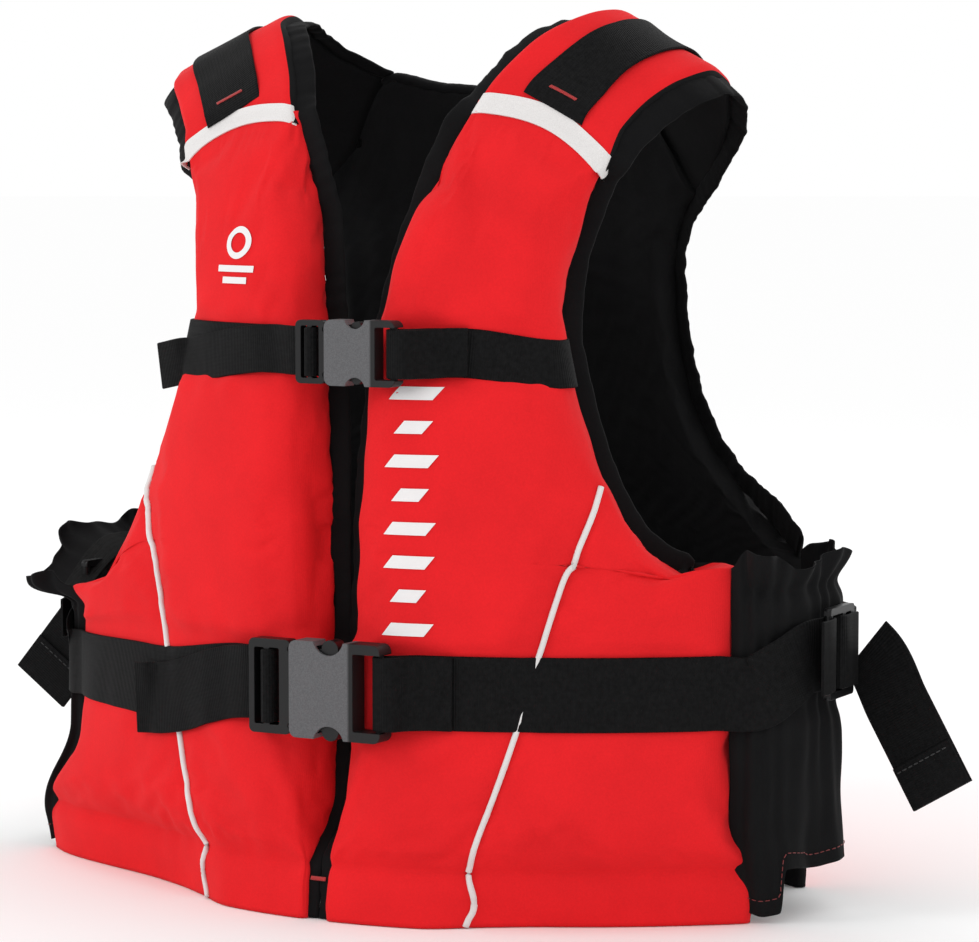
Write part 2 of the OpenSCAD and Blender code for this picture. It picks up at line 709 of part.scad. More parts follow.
module left_shoulder_webbing() { color(dark) shoulder_webbing(); }
module right_shoulder_webbing() { color(dark) both(-1) shoulder_webbing(); }
module left_gusset() { color(dark) gusset(); }
module right_gusset() { color(dark) both(-1) gusset(); }
module left_gusset_elastic() { color(dark) gusset_elastic(); }
module right_gusset_elastic() { color(dark) both(-1) gusset_elastic(); }
module chest_buckle_socket() { color(grey) at_chest() socket(chest_web, chest_socket_l, chest_buckle_t); }
module chest_buckle_plug() { color(grey) at_chest() plug(chest_web, chest_socket_l, chest_buckle_t); }
module chest_upper_prong() { color(grey) at_chest() prong(chest_web, chest_socket_l, chest_buckle_t, 1); }
module chest_lower_prong() { color(grey) at_chest() prong(chest_web, chest_socket_l, chest_buckle_t, -1); }
module waist_buckle_socket() { color(grey) at_waist() socket(waist_web, waist_socket_l, waist_buckle_t); }
module waist_buckle_plug() { color(grey) at_waist() plug(waist_web, waist_socket_l, waist_buckle_t); }
module waist_upper_prong() { color(grey) at_waist() prong(waist_web, waist_socket_l, waist_buckle_t, 1); }
module waist_lower_prong() { color(grey) at_waist() prong(waist_web, waist_socket_l, waist_buckle_t, -1); }
module left_adjuster() { color(grey) adjuster(); }
module right_adjuster() { color(grey) both(-1) adjuster(); }
module left_anchor_webbing() { color(dark) anchor_webbing(); }
module right_anchor_webbing() { color(dark) both(-1) anchor_webbing(); }
// The left tail hangs steeply, the right one stands out further
module left_tail() { color(dark) tail(0.25, 1.15); }
module right_tail() { color(dark) both(-1) tail(-0.15, 0.5); }

left_front_foam();
right_front_foam();
left_front_shell();
right_front_shell();
left_side_shell();
right_side_shell();
left_front_lining();
right_front_lining();
left_piping();
right_piping();
left_reflective_tape();
right_reflective_tape();
left_front_hem();
right_front_hem();
left_centre_binding();
right_centre_binding();
left_arm_binding();
right_arm_binding();
color(foam_grey) back_foam();
color(red) back_shell();
color(dark) back_lining();
color(red) back_hem();
color(dark) back_neck_binding();
left_shoulder_yoke();
right_shoulder_yoke();
left_shoulder_webbing();
right_shoulder_webbing();
left_gusset();
right_gusset();
left_gusset_elastic();
right_gusset_elastic();
chest_buckle_socket();
chest_buckle_plug();
chest_upper_prong();
chest_lower_prong();
color(dark) chest_webbing_left();  // left_chest_webbing
color(dark) chest_webbing_right();  // right_chest_webbing
waist_buckle_socket();
waist_buckle_plug();
waist_upper_prong();
waist_lower_prong();
color(dark) waist_webbing_left();  // left_waist_webbing
color(dark) waist_webbing_right();  // right_waist_webbing
left_adjuster();
right_adjuster();
left_anchor_webbing();
right_anchor_webbing();
left_tail();
right_tail();
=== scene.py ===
"""A foam buoyancy vest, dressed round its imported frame.

Shapes are worked out in millimetres in the row frame and scaled to metres when
a mesh is made. +X is the wearer's left, the front faces -Y and +Z is up.
"""

import math

import bmesh
import bpy
import numpy as np
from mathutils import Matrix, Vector
from mathutils.bvhtree import BVHTree


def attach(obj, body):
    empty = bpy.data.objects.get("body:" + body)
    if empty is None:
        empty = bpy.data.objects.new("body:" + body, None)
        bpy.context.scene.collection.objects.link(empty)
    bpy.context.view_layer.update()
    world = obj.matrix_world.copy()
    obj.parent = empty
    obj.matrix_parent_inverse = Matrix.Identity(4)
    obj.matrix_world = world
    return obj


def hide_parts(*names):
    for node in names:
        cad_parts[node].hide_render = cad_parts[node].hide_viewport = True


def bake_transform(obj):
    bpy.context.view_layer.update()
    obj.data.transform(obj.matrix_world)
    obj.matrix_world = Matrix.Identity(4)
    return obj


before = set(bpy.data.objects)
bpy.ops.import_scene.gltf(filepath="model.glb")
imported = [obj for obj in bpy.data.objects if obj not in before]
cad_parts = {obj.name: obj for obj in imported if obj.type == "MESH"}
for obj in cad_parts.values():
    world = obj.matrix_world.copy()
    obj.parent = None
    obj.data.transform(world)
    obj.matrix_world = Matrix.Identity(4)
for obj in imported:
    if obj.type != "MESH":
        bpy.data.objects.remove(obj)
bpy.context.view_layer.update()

MM = 0.001
SIDES = (("left", 1), ("right", -1))
scene = bpy.context.scene

# --- the vest's measures ------------------------------------------------------

MID_Y = 9.74
FRONT_T = 34
BACK_T = 30
YOKE_T = 12
WEB_T = 1.5
CHEST_WEB = 25
WAIST_WEB = 38
CHEST_Z = 291
WAIST_Z = 120
HEM_SEAM_Z = 28
TAIL_REACH = 297
TAPE_ENDS = {"left": (9, 5), "right": (2, 10)}

# Front panel outline, hem to shoulder: inner x, inner z, outer x, outer z
PANEL_ROWS = [
    [6, 28, 206, 28], [7, 62, 200, 62], [8, 100, 199, 100], [10, 140, 199, 140],
    [11, 165, 199, 166], [12, 186, 198, 182], [12, 201, 182, 178], [13, 216, 162, 189],
    [14, 233, 149, 206], [17, 263, 134, 240], [21, 293, 124, 272], [26, 323, 117, 305],
    [32, 351, 118, 335], [41, 380, 122, 360], [52, 410, 126, 380],
]
SEAM_SHARE = [[0, 0.38], [3, 0.545], [5, 0.615], [6, 0.68], [7, 0.785], [8, 0.89], [8.7, 1.0]]
LAST_SIDE_ROW = 8.6
PANEL_WIDTH = 190
PANEL_CELLS = 34
FRONT_MID = [
    [0, -146], [28, -145], [62, -139], [100, -136], [140, -135], [226, -132], [268, -128],
    [307, -123], [343, -116], [380, -103], [410, -87],
]
FRONT_CURL = [[0, 0.0021], [180, 0.0021], [226, 0.0024], [300, 0.0030], [343, 0.0026], [380, 0.0022]]

# Back panel outline, hem to neck: half width, z at the middle, z at the edge
BACK_ROWS = [
    [190, 28, 28], [194, 62, 62], [196, 100, 100], [196, 140, 140], [196, 176, 175],
    [186, 200, 187], [163, 225, 204], [131, 255, 233], [112, 290, 273], [107, 325, 309],
    [107, 358, 336], [112, 392, 352],
]
BACK_TOP_HALF = 116
BACK_TOP = [[0, 423], [50, 427], [74, 432], [118, 366]]
BACK_MID = [[0, 129], [62, 130], [140, 128], [226, 123], [300, 116], [360, 106], [400, 96], [432, 84]]
BACK_CURL = 0.0018

# Shoulder yoke, front tape to back: neck-side point, arm-side point
YOKE_ROWS = [
    [[53, -78, 412], [127, -71, 382]], [[62, -63, 432], [134, -60, 401]],
    [[76, -46, 452], [149, -44, 418]], [[90, -26, 464], [166, -24, 431]],
    [[98, 0, 468], [173, 0, 436]], [[101, 24, 462], [171, 22, 430]],
    [[98, 44, 451], [159, 41, 414]], [[88, 61, 441], [139, 59, 394]],
    [[78, 75, 434], [119, 77, 369]],
]

GUSSET_MID = (196, -5)
GUSSET_R = (31, 50)
ELASTIC_Z = 171


# --- numbers ------------------------------------------------------------------

def lookup(v, table):
    """A table read along straight lines."""
    t = np.array(table, float)
    return np.interp(v, t[:, 0], t[:, 1])


def cubic(s, h, y0, slope0, y1, slope1):
    """The cubic at share s of a stretch of length h, from both ends' values and slopes."""
    start = (1 + 2 * s) * (1 - s) ** 2 * y0 + s * (1 - s) ** 2 * h * slope0
    end = s * s * (3 - 2 * s) * y1 + s * s * (s - 1) * h * slope1
    return start + end


def smooth_lookup(v, table):
    """A table read along a smooth curve that never swings past its values."""
    t = np.array(table, float)
    x, y = t[:, 0], t[:, 1]
    secant = np.diff(y) / np.diff(x)
    slope = np.zeros(len(x))
    same = secant[1:] * secant[:-1] > 0
    total = np.where(same, secant[1:] + secant[:-1], 1)
    slope[1:-1] = np.where(same, 2 * secant[1:] * secant[:-1] / total, 0)
    slope[0], slope[-1] = secant[0], secant[-1]
    v = np.clip(np.asarray(v, float), x[0], x[-1])
    k = np.clip(np.searchsorted(x, v, side="right") - 1, 0, len(x) - 2)
    h = x[k + 1] - x[k]
    return cubic((v - x[k]) / h, h, y[k], slope[k], y[k + 1], slope[k + 1])


def column(rows, k):
    """A lookup table of one column of a list of rows, by row number."""
    return [[i, row[k]] for i, row in enumerate(rows)]


def step(v, low, high):
    """0 before low, 1 after high, and smooth between."""
    t = np.clip((np.asarray(v, float) - low) / (high - low), 0, 1)
    return t * t * (3 - 2 * t)


def band(v, middle, half, soft):
    """1 within half of the middle, falling to 0 over soft."""
    return 1 - step(np.abs(np.asarray(v, float) - middle), half, half + soft)


def bump_at(v, middle, width):
    """A smooth hump of height 1."""
    return np.exp(-(((np.asarray(v, float) - middle) / width) ** 2))


def unit(v):
    """The same directions with a length of 1."""
    v = np.asarray(v, float)
    return v / np.maximum(np.linalg.norm(v, axis=-1, keepdims=True), 1e-12)


def ripple(points, pitch, seed, stretch=(1, 1, 1)):
    """Soft uneven waves of about one pitch in space, from -1 to 1."""
    waves = 7
    rng = np.random.default_rng(seed)
    p = np.asarray(points, float) / np.array(stretch, float)
    total = np.zeros(p.shape[:-1])
    for _ in range(waves):
        direction = unit(rng.normal(size=3))
        size = 2 * math.pi / (pitch * rng.uniform(0.7, 1.5))
        total += np.sin(p @ direction * size + rng.uniform(0, 2 * math.pi))
    return total / math.sqrt(waves) / 1.6


def through(points, spacing):
    """Points at an even spacing along a smooth curve through the given ones."""
    p = np.array(points, float)
    size = np.linalg.norm(np.diff(p[:, :3], axis=0), axis=1)
    p = np.concatenate([p[:1], p[1:][size > 1e-6]])
    length = np.concatenate([[0], np.cumsum(size[size > 1e-6])])
    count = max(2, int(round(length[-1] / spacing)) + 1)
    at = np.linspace(0, length[-1], count)
    slope = np.gradient(p, length, axis=0)
    k = np.clip(np.searchsorted(length, at, side="right") - 1, 0, len(length) - 2)
    h = (length[k + 1] - length[k])[:, None]
    s = (at - length[k])[:, None] / h
    return cubic(s, h, p[k], slope[k], p[k + 1], slope[k + 1])


def run_along(p):
    """The distance along a line of points, at each of them."""
    return np.concatenate([[0], np.cumsum(np.linalg.norm(np.diff(p, axis=0), axis=1))])


def ribbon_frame(p, ways):
    """At each point of a line, its wide way squared up to the line, and the way out."""
    along = unit(np.gradient(p, axis=0))
    up = unit(ways - (ways * along).sum(1, keepdims=True) * along)
    return up, np.cross(along, up)


# --- the vest's surfaces --------------------------------------------------------

def front_y(x, z):
    """Where the front panels' face is, as a smooth curve of the frame's table."""
    return MID_Y + smooth_lookup(z, FRONT_MID) + smooth_lookup(z, FRONT_CURL) * np.asarray(x, float) ** 2


def front_inward(x, z):
    """The level direction into a front panel."""
    slope = 2 * smooth_lookup(z, FRONT_CURL) * x
    return unit(np.stack([-slope, np.ones_like(slope), np.zeros_like(slope)], -1))


def front_point(x, z, depth):
    """A point that lies depth behind the front face, level with it."""
    x, z, depth = np.broadcast_arrays(*(np.asarray(v, float) for v in (x, z, depth)))
    return np.stack([x, front_y(x, z), z], -1) + depth[..., None] * front_inward(x, z)


def back_point(x, z, depth):
    """A point that lies depth inside the back's outer face."""
    x, z, depth = np.broadcast_arrays(*(np.asarray(v, float) for v in (x, z, depth)))
    y = MID_Y + smooth_lookup(z, BACK_MID) - BACK_CURL * x ** 2
    slope = -2 * BACK_CURL * x
    inward = unit(np.stack([slope, -np.ones_like(slope), np.zeros_like(slope)], -1))
    return np.stack([x, y, z], -1) + depth[..., None] * inward


def yoke_point(row, share, depth):
    """A point on a shoulder: row 0 is at the tape and 8 at the back, share 0 at the neck."""
    def flat(r, a):
        neck, arm = (
            np.stack([smooth_lookup(r, column([p[end] for p in YOKE_ROWS], k)) for k in range(3)], -1)
            for end in (0, 1)
        )
        a = np.asarray(a, float)[..., None]
        return neck + (arm - neck) * a + np.array([0, MID_Y, 0])

    row, share, depth = np.broadcast_arrays(*(np.asarray(v, float) for v in (row, share, depth)))
    along = flat(np.minimum(row + 0.05, 8), share) - flat(np.maximum(row - 0.05, 0), share)
    across = flat(row, share + 0.02) - flat(row, share - 0.02)
    inward = unit(np.cross(along, across))
    return flat(row, share) + depth[..., None] * inward


def panel_x(v, share):
    """X on a front panel: v is the outline's row number, share 0 its inner edge."""
    inner = smooth_lookup(v, column(PANEL_ROWS, 0))
    outer = smooth_lookup(v, column(PANEL_ROWS, 2))
    return inner + (outer - inner) * share


def panel_z(v, share):
    """Height on a front panel. The hem is below row 0, down to -1."""
    inner = smooth_lookup(v, column(PANEL_ROWS, 1))
    outer = smooth_lookup(v, column(PANEL_ROWS, 3))
    return np.where(v < 0, HEM_SEAM_Z * (1 + v), inner + (outer - inner) * share)


def panel_back_depth(v):
    """How far the lining lies behind the front face."""
    hem = [[-1, 13], [-0.6, 13.5], [0, 15], [0.5, 29], [1.1, FRONT_T]]
    return smooth_lookup(v, hem + [[12, FRONT_T], [13, 27], [14, 15]])


def panel_front_depth(v):
    """How far the cover lies below the flat face: a step in at the hem seam."""
    return smooth_lookup(v, [[-1, 4.5], [-0.4, 4.6], [0, 6.5], [0.35, 2.2], [0.9, 0], [12, 0], [14, 1.5]])


# --- meshes -----------------------------------------------------------------------

def worn(points):
    """Points moved to where the soft pieces hang, out of true with the even pattern.

    The right side panel spreads outward, most at its hem and at its ruffle, and its
    front corner sinks. The left shoulder's outer corner folds in. The front hems tuck
    under at the sides. Nothing near a buckle moves."""
    x, y, z = points.T
    panel = 11 * step(-x, 120, 185) * (1 - step(-x, 196, 226))
    hem = 24 * step(-x, 130, 190) * (1 - step(z, 18, 74)) * (1 - step(-x, 236, 250))
    ruffle = step(-x, 165, 225) * step(z, 160, 186)
    shoulder = 14 * step(x, 95, 150) * step(z, 390, 440)
    corner = 30 * step(-x, 128, 192) * step(z, 118, 188) * (1 - step(y, -30, 30))
    below_shoulder = 1 - step(z, 230, 330)
    moved = points.copy()
    moved[:, 0] -= panel * below_shoulder + hem + 27 * ruffle * below_shoulder + shoulder
    moved[:, 2] -= (corner + 6 * ruffle) * below_shoulder
    moved[:, 1] += 11 * (1 - step(z, 0, 50)) * step(np.abs(x), 55, 115) * (1 - step(y, 0, 60))
    return moved


def add_mesh(name, points, faces, material, side=1, uvs=None):
    """A mesh object from points in millimetres; side -1 mirrors it in X."""
    p = np.asarray(points, float).reshape(-1, 3)
    if side < 0:
        p = p * np.array([-1, 1, 1])
        faces = [tuple(reversed(f)) for f in faces]
    mesh = bpy.data.meshes.new(name)
    mesh.from_pydata((worn(p) * MM).tolist(), [], faces)
    mesh.validate()
    mesh.polygons.foreach_set("use_smooth", [True] * len(mesh.polygons))
    if uvs is not None:
        layer = mesh.uv_layers.new(name="UVMap")
        corners = np.zeros(len(mesh.loops), int)
        mesh.loops.foreach_get("vertex_index", corners)
        layer.data.foreach_set("uv", np.asarray(uvs, float).reshape(-1, 2)[corners].ravel())
    mesh.materials.append(material)
    mesh.update()
    obj = bpy.data.objects.new(name, mesh)
    scene.collection.objects.link(obj)
    return obj


def grid_faces(rows, cols, around=False):
    """Quads of a grid of points numbered row by row; around joins its two sides."""
    last = cols if around else cols - 1
    return [
        (r * cols + c, r * cols + (c + 1) % cols, (r + 1) * cols + (c + 1) % cols, (r + 1) * cols + c)
        for r in range(rows - 1)
        for c in range(last)
    ]


def tube_faces(rows, cols):
    """The faces of a tube of rings, closed at both ends."""
    ends = [tuple(range(cols)), tuple(reversed(range((rows - 1) * cols, rows * cols)))]
    return grid_faces(rows, cols, around=True) + ends


def rim_faces(rows, cols, behind):
    """Quads that close two stacked grids round their edge."""
    loop = list(range(cols))
    loop += [r * cols + cols - 1 for r in range(1, rows)]
    loop += [(rows - 1) * cols + c for c in range(cols - 2, -1, -1)]
    loop += [r * cols for r in range(rows - 2, 0, -1)]
    return [(a, b, b + behind, a + behind) for a, b in zip(loop, loop[1:] + loop[:1])]


def add_sheet(name, face, under, material, side):
    """Thin cloth between two grids of points that are alike."""
    rows, cols = face.shape[:2]
    count = rows * cols
    faces = grid_faces(rows, cols)
    back = [tuple(reversed([i + count for i in f])) for f in faces]
    points = np.concatenate([face.reshape(-1, 3), under.reshape(-1, 3)])
    sheet = add_mesh(name, points, faces + back + rim_faces(rows, cols, count), material, side)
    face_outward(sheet)
    return sheet


def edit_mesh(obj, change):
    """Runs change on an object's mesh."""
    shape = bmesh.new()
    shape.from_mesh(obj.data)
    change(shape)
    shape.to_mesh(obj.data)
    shape.free()
    obj.data.update()


def face_outward(obj):
    """Turns a closed mesh's faces to look out."""
    edit_mesh(obj, lambda shape: bmesh.ops.recalc_face_normals(shape, faces=shape.faces))


def drop_loose_points(obj):
    """Removes the points that no face uses."""
    def change(shape):
        loose = [v for v in shape.verts if not v.link_faces]
        bmesh.ops.delete(shape, geom=loose, context="VERTS")

    edit_mesh(obj, change)


def mark_sharp(obj):
    """Edges sharper than 50 degrees stay crisp under smooth shading."""
    def change(shape):
        for edge in shape.edges:
            if len(edge.link_faces) == 2 and edge.calc_face_angle(0) > math.radians(50):
                edge.smooth = False

    edit_mesh(obj, change)


def dress(obj, body, slot, *nodes):
    """Says what a piece rides on and hides the CAD nodes it stands for; slot, its finish, is not used."""
    if nodes:
        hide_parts(*nodes)
    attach(obj, body)


# --- pads: closed rings of points, swollen by cloth ------------------------------------

def ring_profile(width, front, back, cells, radius=13.0, back_radius=7.0):
    """Points round one row of a pad: across from the inner edge, depth, and zone.

    Zones: 0 front, 1 outer wall, 2 lining, 3 inner wall."""
    rf = min(radius, (back - front) * 0.45, width / 3)
    rb = min(back_radius, (back - front) * 0.45, width / 3)
    u, d, zone = [], [], []

    def put(a, b, k):
        u.append(a)
        d.append(b)
        zone.append(k)

    for k in range(cells + 1):
        put(rf + (width - 2 * rf) * k / cells, front, 0)
    for k in range(1, 5):
        a = math.pi / 2 * k / 5
        put(width - rf + rf * math.sin(a), front + rf - rf * math.cos(a), 0 if k < 3 else 1)
    for k in range(4):
        put(width, front + rf + (back - rb - front - rf) * k / 3, 1)
    for k in range(1, 3):
        a = math.pi / 2 * k / 3
        put(width - rb + rb * math.cos(a), back - rb + rb * math.sin(a), 1)
    for k in range(cells + 1):
        put(width - rb - (width - 2 * rb) * k / cells, back, 2)
    for k in range(1, 3):
        a = math.pi / 2 * k / 3
        put(rb - rb * math.sin(a), back - rb + rb * math.cos(a), 3)
    for k in range(4):
        put(0, back - rb - (back - rb - front - rf) * k / 3, 3)
    for k in range(1, 5):
        a = math.pi / 2 * k / 5
        put(rf - rf * math.cos(a), front + rf - rf * math.sin(a), 3 if k < 3 else 0)
    return np.array(u), np.array(d), np.array(zone)


def swell(name, grid, held, cap, pressure, spare=0.0):
    """The ring grid after cloth has swelled it; held is 1 where a seam holds it."""
    rows, cols, _ = grid.shape
    faces = grid_faces(rows, cols, around=True)
    faces += [tuple(range(cols)), tuple(range((rows - 1) * cols, rows * cols))]
    trial = add_mesh(name + "_trial", grid, faces, bpy.data.materials.new("trial"))
    face_outward(trial)
    group = trial.vertex_groups.new(name="held")
    for index, weight in enumerate(held.ravel()):
        group.add([index], float(weight), "REPLACE")
    cloth = trial.modifiers.new("Cloth", "CLOTH")
    cloth.settings.quality = 6
    cloth.settings.mass = 0.25
    cloth.settings.tension_stiffness = 12
    cloth.settings.compression_stiffness = 8
    cloth.settings.bending_stiffness = 0.3
    cloth.settings.use_pressure = True
    cloth.settings.uniform_pressure_force = pressure
    cloth.settings.shrink_min = -spare
    cloth.settings.vertex_group_mass = "held"
    cloth.settings.effector_weights.gravity = 0
    cloth.point_cache.frame_start = 1
    cloth.point_cache.frame_end = 20
    for number in range(1, 21):
        scene.frame_set(number)
    done = trial.evaluated_get(bpy.context.evaluated_depsgraph_get())
    moved = np.zeros(len(trial.data.vertices) * 3)
    done.data.vertices.foreach_get("co", moved)
    move = moved.reshape(grid.shape) / MM - grid
    size = np.linalg.norm(move, axis=-1, keepdims=True)
    bpy.data.objects.remove(trial)
    scene.frame_set(1)
    return grid + move * np.minimum(1, cap / np.maximum(size, 1e-9))


def finer(values):
    """A ring grid, or labels on one, with twice the points each way."""
    near, far = 0.5625, 0.0625
    outer = np.roll(values, 1, 1) + np.roll(values, -2, 1)
    around = near * (values + np.roll(values, -1, 1)) - far * outer
    wide = np.stack([values, around], 2).reshape((values.shape[0], values.shape[1] * 2) + values.shape[2:])
    before = np.concatenate([wide[:1], wide[:-2]])
    after = np.concatenate([wide[2:], wide[-1:]])
    between = near * (wide[:-1] + wide[1:]) - far * (before + after)
    tall = np.empty((wide.shape[0] * 2 - 1,) + wide.shape[1:])
    tall[0::2] = wide
    tall[1::2] = between
    return tall


def ring_normals(grid):
    """The direction out of a ring grid at each point."""
    around = np.roll(grid, -1, 1) - np.roll(grid, 1, 1)
    along = np.gradient(grid, axis=0)
    normal = unit(np.cross(around, along))
    out = grid - grid.mean(1, keepdims=True)
    return normal * np.sign((normal * out).sum())


def split_pad(name, grid, zone, side, cover_nodes, lining_nodes, black_walls=False):
    """The finished pad as two pieces that share an edge: its red cover and black lining.

    The lining also takes in the walls where they are black."""
    rows, cols, _ = grid.shape
    faces = grid_faces(rows, cols, around=True)
    black = ((zone > 0.6) if black_walls else (np.abs(zone - 2) < 0.75)).ravel()
    is_lining = [all(black[i] for i in f) for f in faces]
    caps = [tuple(reversed(range(cols))), tuple(range((rows - 1) * cols, rows * cols))]
    cover_faces = [f for f, inside in zip(faces, is_lining) if not inside]
    lining_faces = [f for f, inside in zip(faces, is_lining) if inside]
    if black_walls:
        lining_faces += caps
    else:
        cover_faces += caps
    whole = add_mesh(name, grid, cover_faces, red_cloth, side)
    inner = add_mesh(name + "_lining", grid, lining_faces, black_cloth, side)
    for obj in (whole, inner):
        drop_loose_points(obj)
    dress(whole, "vest", "red_cloth", *cover_nodes)
    dress(inner, "vest", "black_cloth", *lining_nodes)


def tree_of(*grids):
    """What lies on a pad is found with this: a search tree over ring grids."""
    points, faces = [], []
    for grid in grids:
        base = len(points)
        points.extend(grid.reshape(-1, 3).tolist())
        faces.extend([base + i for i in face] for face in grid_faces(*grid.shape[:2], around=True))
    return BVHTree.FromPolygons(points, faces)


def laid_on(tree, points, inward, lift):
    """Points dropped along inward onto a pad and left lift off it."""
    reach = 25.0
    p = np.asarray(points, float)
    directions = np.broadcast_to(np.asarray(inward, float), p.shape)
    result = p.copy()
    for index in np.ndindex(p.shape[:-1]):
        way = Vector(directions[index]).normalized()
        hit, _, _, _ = tree.ray_cast(Vector(p[index]) - way * reach, way, reach * 2.2)
        if hit is not None:
            result[index] = np.array(hit) - np.array(way) * lift
    return result


# --- materials --------------------------------------------------------------------------

WAVE = math.pi / 10  # a wave texture of this scale repeats once a metre
THREAD_PITCH = 0.0006
RED = (0.74, 0.016, 0.020)
BLACK = (0.0080, 0.0080, 0.0084)
WEBBING_BLACK = (0.0045, 0.0045, 0.0047)
BINDING_BLACK = (0.0056, 0.0056, 0.006)
SOCKET_GREY = (0.095, 0.095, 0.10)
SOCKET_END = (0.008, 0.008, 0.0085)
PLUG_BLACK = (0.006, 0.006, 0.0065)


class Paint:
    """A short way to write one procedural material."""

    def __init__(self, name, colour, roughness, sheen=0.0, specular=0.5):
        self.material = bpy.data.materials.new(name)
        self.material.use_nodes = True
        self.nodes = self.material.node_tree.nodes
        self.links = self.material.node_tree.links
        self.shader = self.nodes["Principled BSDF"]
        self.shader.inputs["Base Color"].default_value = (*colour, 1)
        self.shader.inputs["Roughness"].default_value = roughness
        self.shader.inputs["Specular IOR Level"].default_value = specular
        self.shader.inputs["Sheen Weight"].default_value = sheen
        self.shader.inputs["Sheen Roughness"].default_value = 0.45
        self.coordinates = self.nodes.new("ShaderNodeTexCoord").outputs

    def node(self, kind, **settings):
        made = self.nodes.new(kind)
        for key, value in settings.items():
            setattr(made, key, value)
        return made

    def join(self, a, b):
        self.links.new(a, b)

    def finish(self, dye, normal):
        """The material, once its colour and its bump are joined to the shader."""
        self.join(dye, self.shader.inputs["Base Color"])
        self.join(normal, self.shader.inputs["Normal"])
        return self.material

    def math(self, operation, a, b):
        made = self.node("ShaderNodeMath", operation=operation)
        for socket, value in zip(made.inputs, (a, b)):
            if isinstance(value, (int, float)):
                socket.default_value = value
            else:
                self.join(value, socket)
        return made.outputs[0]

    def noise(self, vector, scale, detail=3.0, roughness=0.55):
        made = self.node("ShaderNodeTexNoise")
        made.inputs["Scale"].default_value = scale
        made.inputs["Detail"].default_value = detail
        made.inputs["Roughness"].default_value = roughness
        self.join(vector, made.inputs["Vector"])
        return made.outputs["Fac"]

    def waves(self, vector, pitch, direction):
        """Straight waves, pitch metres apart."""
        made = self.node("ShaderNodeTexWave", bands_direction=direction)
        made.inputs["Scale"].default_value = WAVE / pitch
        self.join(vector, made.inputs["Vector"])
        return made.outputs["Fac"]

    def colours(self, factor, stops):
        """Base colour along a ramp of (position, colour) stops."""
        ramp = self.node("ShaderNodeValToRGB")
        while len(ramp.color_ramp.elements) < len(stops):
            ramp.color_ramp.elements.new(0.5)
        for element, (position, colour) in zip(ramp.color_ramp.elements, stops):
            element.position = position
            element.color = (*colour, 1)
        self.join(factor, ramp.inputs["Fac"])
        return ramp.outputs["Color"]

    def bump(self, height, strength, distance, before=None):
        made = self.node("ShaderNodeBump")
        made.inputs["Strength"].default_value = strength
        made.inputs["Distance"].default_value = distance
        self.join(height, made.inputs["Height"])
        if before is not None:
            self.join(before, made.inputs["Normal"])
        return made.outputs["Normal"]


def shade(colour, amount):
    """A colour made darker or lighter."""
    return tuple(c * amount for c in colour)


def woven_cloth(name, colour, sheen, spread=0.12, fold=0.35, specular=0.06):
    """Plain-woven cloth: two sets of threads, uneven dye and small soft creases."""
    paint = Paint(name, colour, 0.75, sheen=sheen, specular=specular)
    place = paint.coordinates["Object"]
    warp = paint.waves(place, THREAD_PITCH, "X")
    weft = paint.waves(place, THREAD_PITCH, "Z")
    weave = paint.math("MAXIMUM", warp, weft)
    patches = paint.noise(place, 26, 4)
    grain = paint.noise(place, 900, 2, 0.7)
    mixed = paint.math("ADD", paint.math("MULTIPLY", patches, 0.6), paint.math("MULTIPLY", grain, 0.4))
    dye = paint.colours(mixed, [(0.3, shade(colour, 1 - spread)), (0.7, shade(colour, 1 + spread * 0.6))])
    creases = paint.noise(place, 75, 3, 0.5)
    soft = paint.bump(creases, fold, 0.0012)
    return paint.finish(dye, paint.bump(weave, 0.25, 0.0002, soft))


def webbing_cloth(name, colour, pitch=0.0013):
    """Ribbed webbing, read along its UVs in metres: ribs across, warp lines along."""
    paint = Paint(name, colour, 0.62, sheen=0.015, specular=0.06)
    ribs = paint.waves(paint.coordinates["UV"], pitch, "X")
    lines = paint.waves(paint.coordinates["UV"], 0.0021, "Y")
    height = paint.math("ADD", ribs, paint.math("MULTIPLY", lines, 0.45))
    grain = paint.noise(paint.coordinates["Object"], 420, 3, 0.65)
    dye = paint.colours(grain, [(0.25, shade(colour, 0.7)), (0.75, shade(colour, 1.9))])
    return paint.finish(dye, paint.bump(height, 0.55, 0.00035))


def moulded_plastic(name, colour, roughness, end=None):
    """Moulded plastic with a fine spark-eroded grain and softened edges.

    end is the colour of the smooth bar at the piece's far end in X."""
    paint = Paint(name, colour, roughness, specular=0.3)
    speckle = paint.noise(paint.coordinates["Object"], 1500, 2, 0.6)
    dye = paint.colours(speckle, [(0.3, shade(colour, 0.82)), (0.7, shade(colour, 1.2))])
    if end is not None:
        apart = paint.node("ShaderNodeSeparateXYZ")
        paint.join(paint.coordinates["Generated"], apart.inputs[0])
        edge = paint.colours(apart.outputs["X"], [(0.64, (0, 0, 0)), (0.67, (1, 1, 1))])
        mix = paint.node("ShaderNodeMix", data_type="RGBA")
        paint.join(edge, mix.inputs["Factor"])
        paint.join(dye, mix.inputs[6])
        mix.inputs[7].default_value = (*end, 1)
        dye = mix.outputs[2]
    soft = paint.node("ShaderNodeBevel", samples=4)
    soft.inputs["Radius"].default_value = 0.0006
    return paint.finish(dye, paint.bump(speckle, 0.25, 0.00012, soft.outputs["Normal"]))


def reflective_cloth(name):
    """Silver reflective tape: fine glass beads over pale cloth."""
    paint = Paint(name, (0.70, 0.68, 0.67), 0.5)
    beads = paint.noise(paint.coordinates["Object"], 1800, 2, 0.7)
    dye = paint.colours(beads, [(0.3, (0.64, 0.62, 0.61)), (0.7, (0.76, 0.74, 0.73))])
    return paint.finish(dye, paint.bump(beads, 0.3, 0.0001))


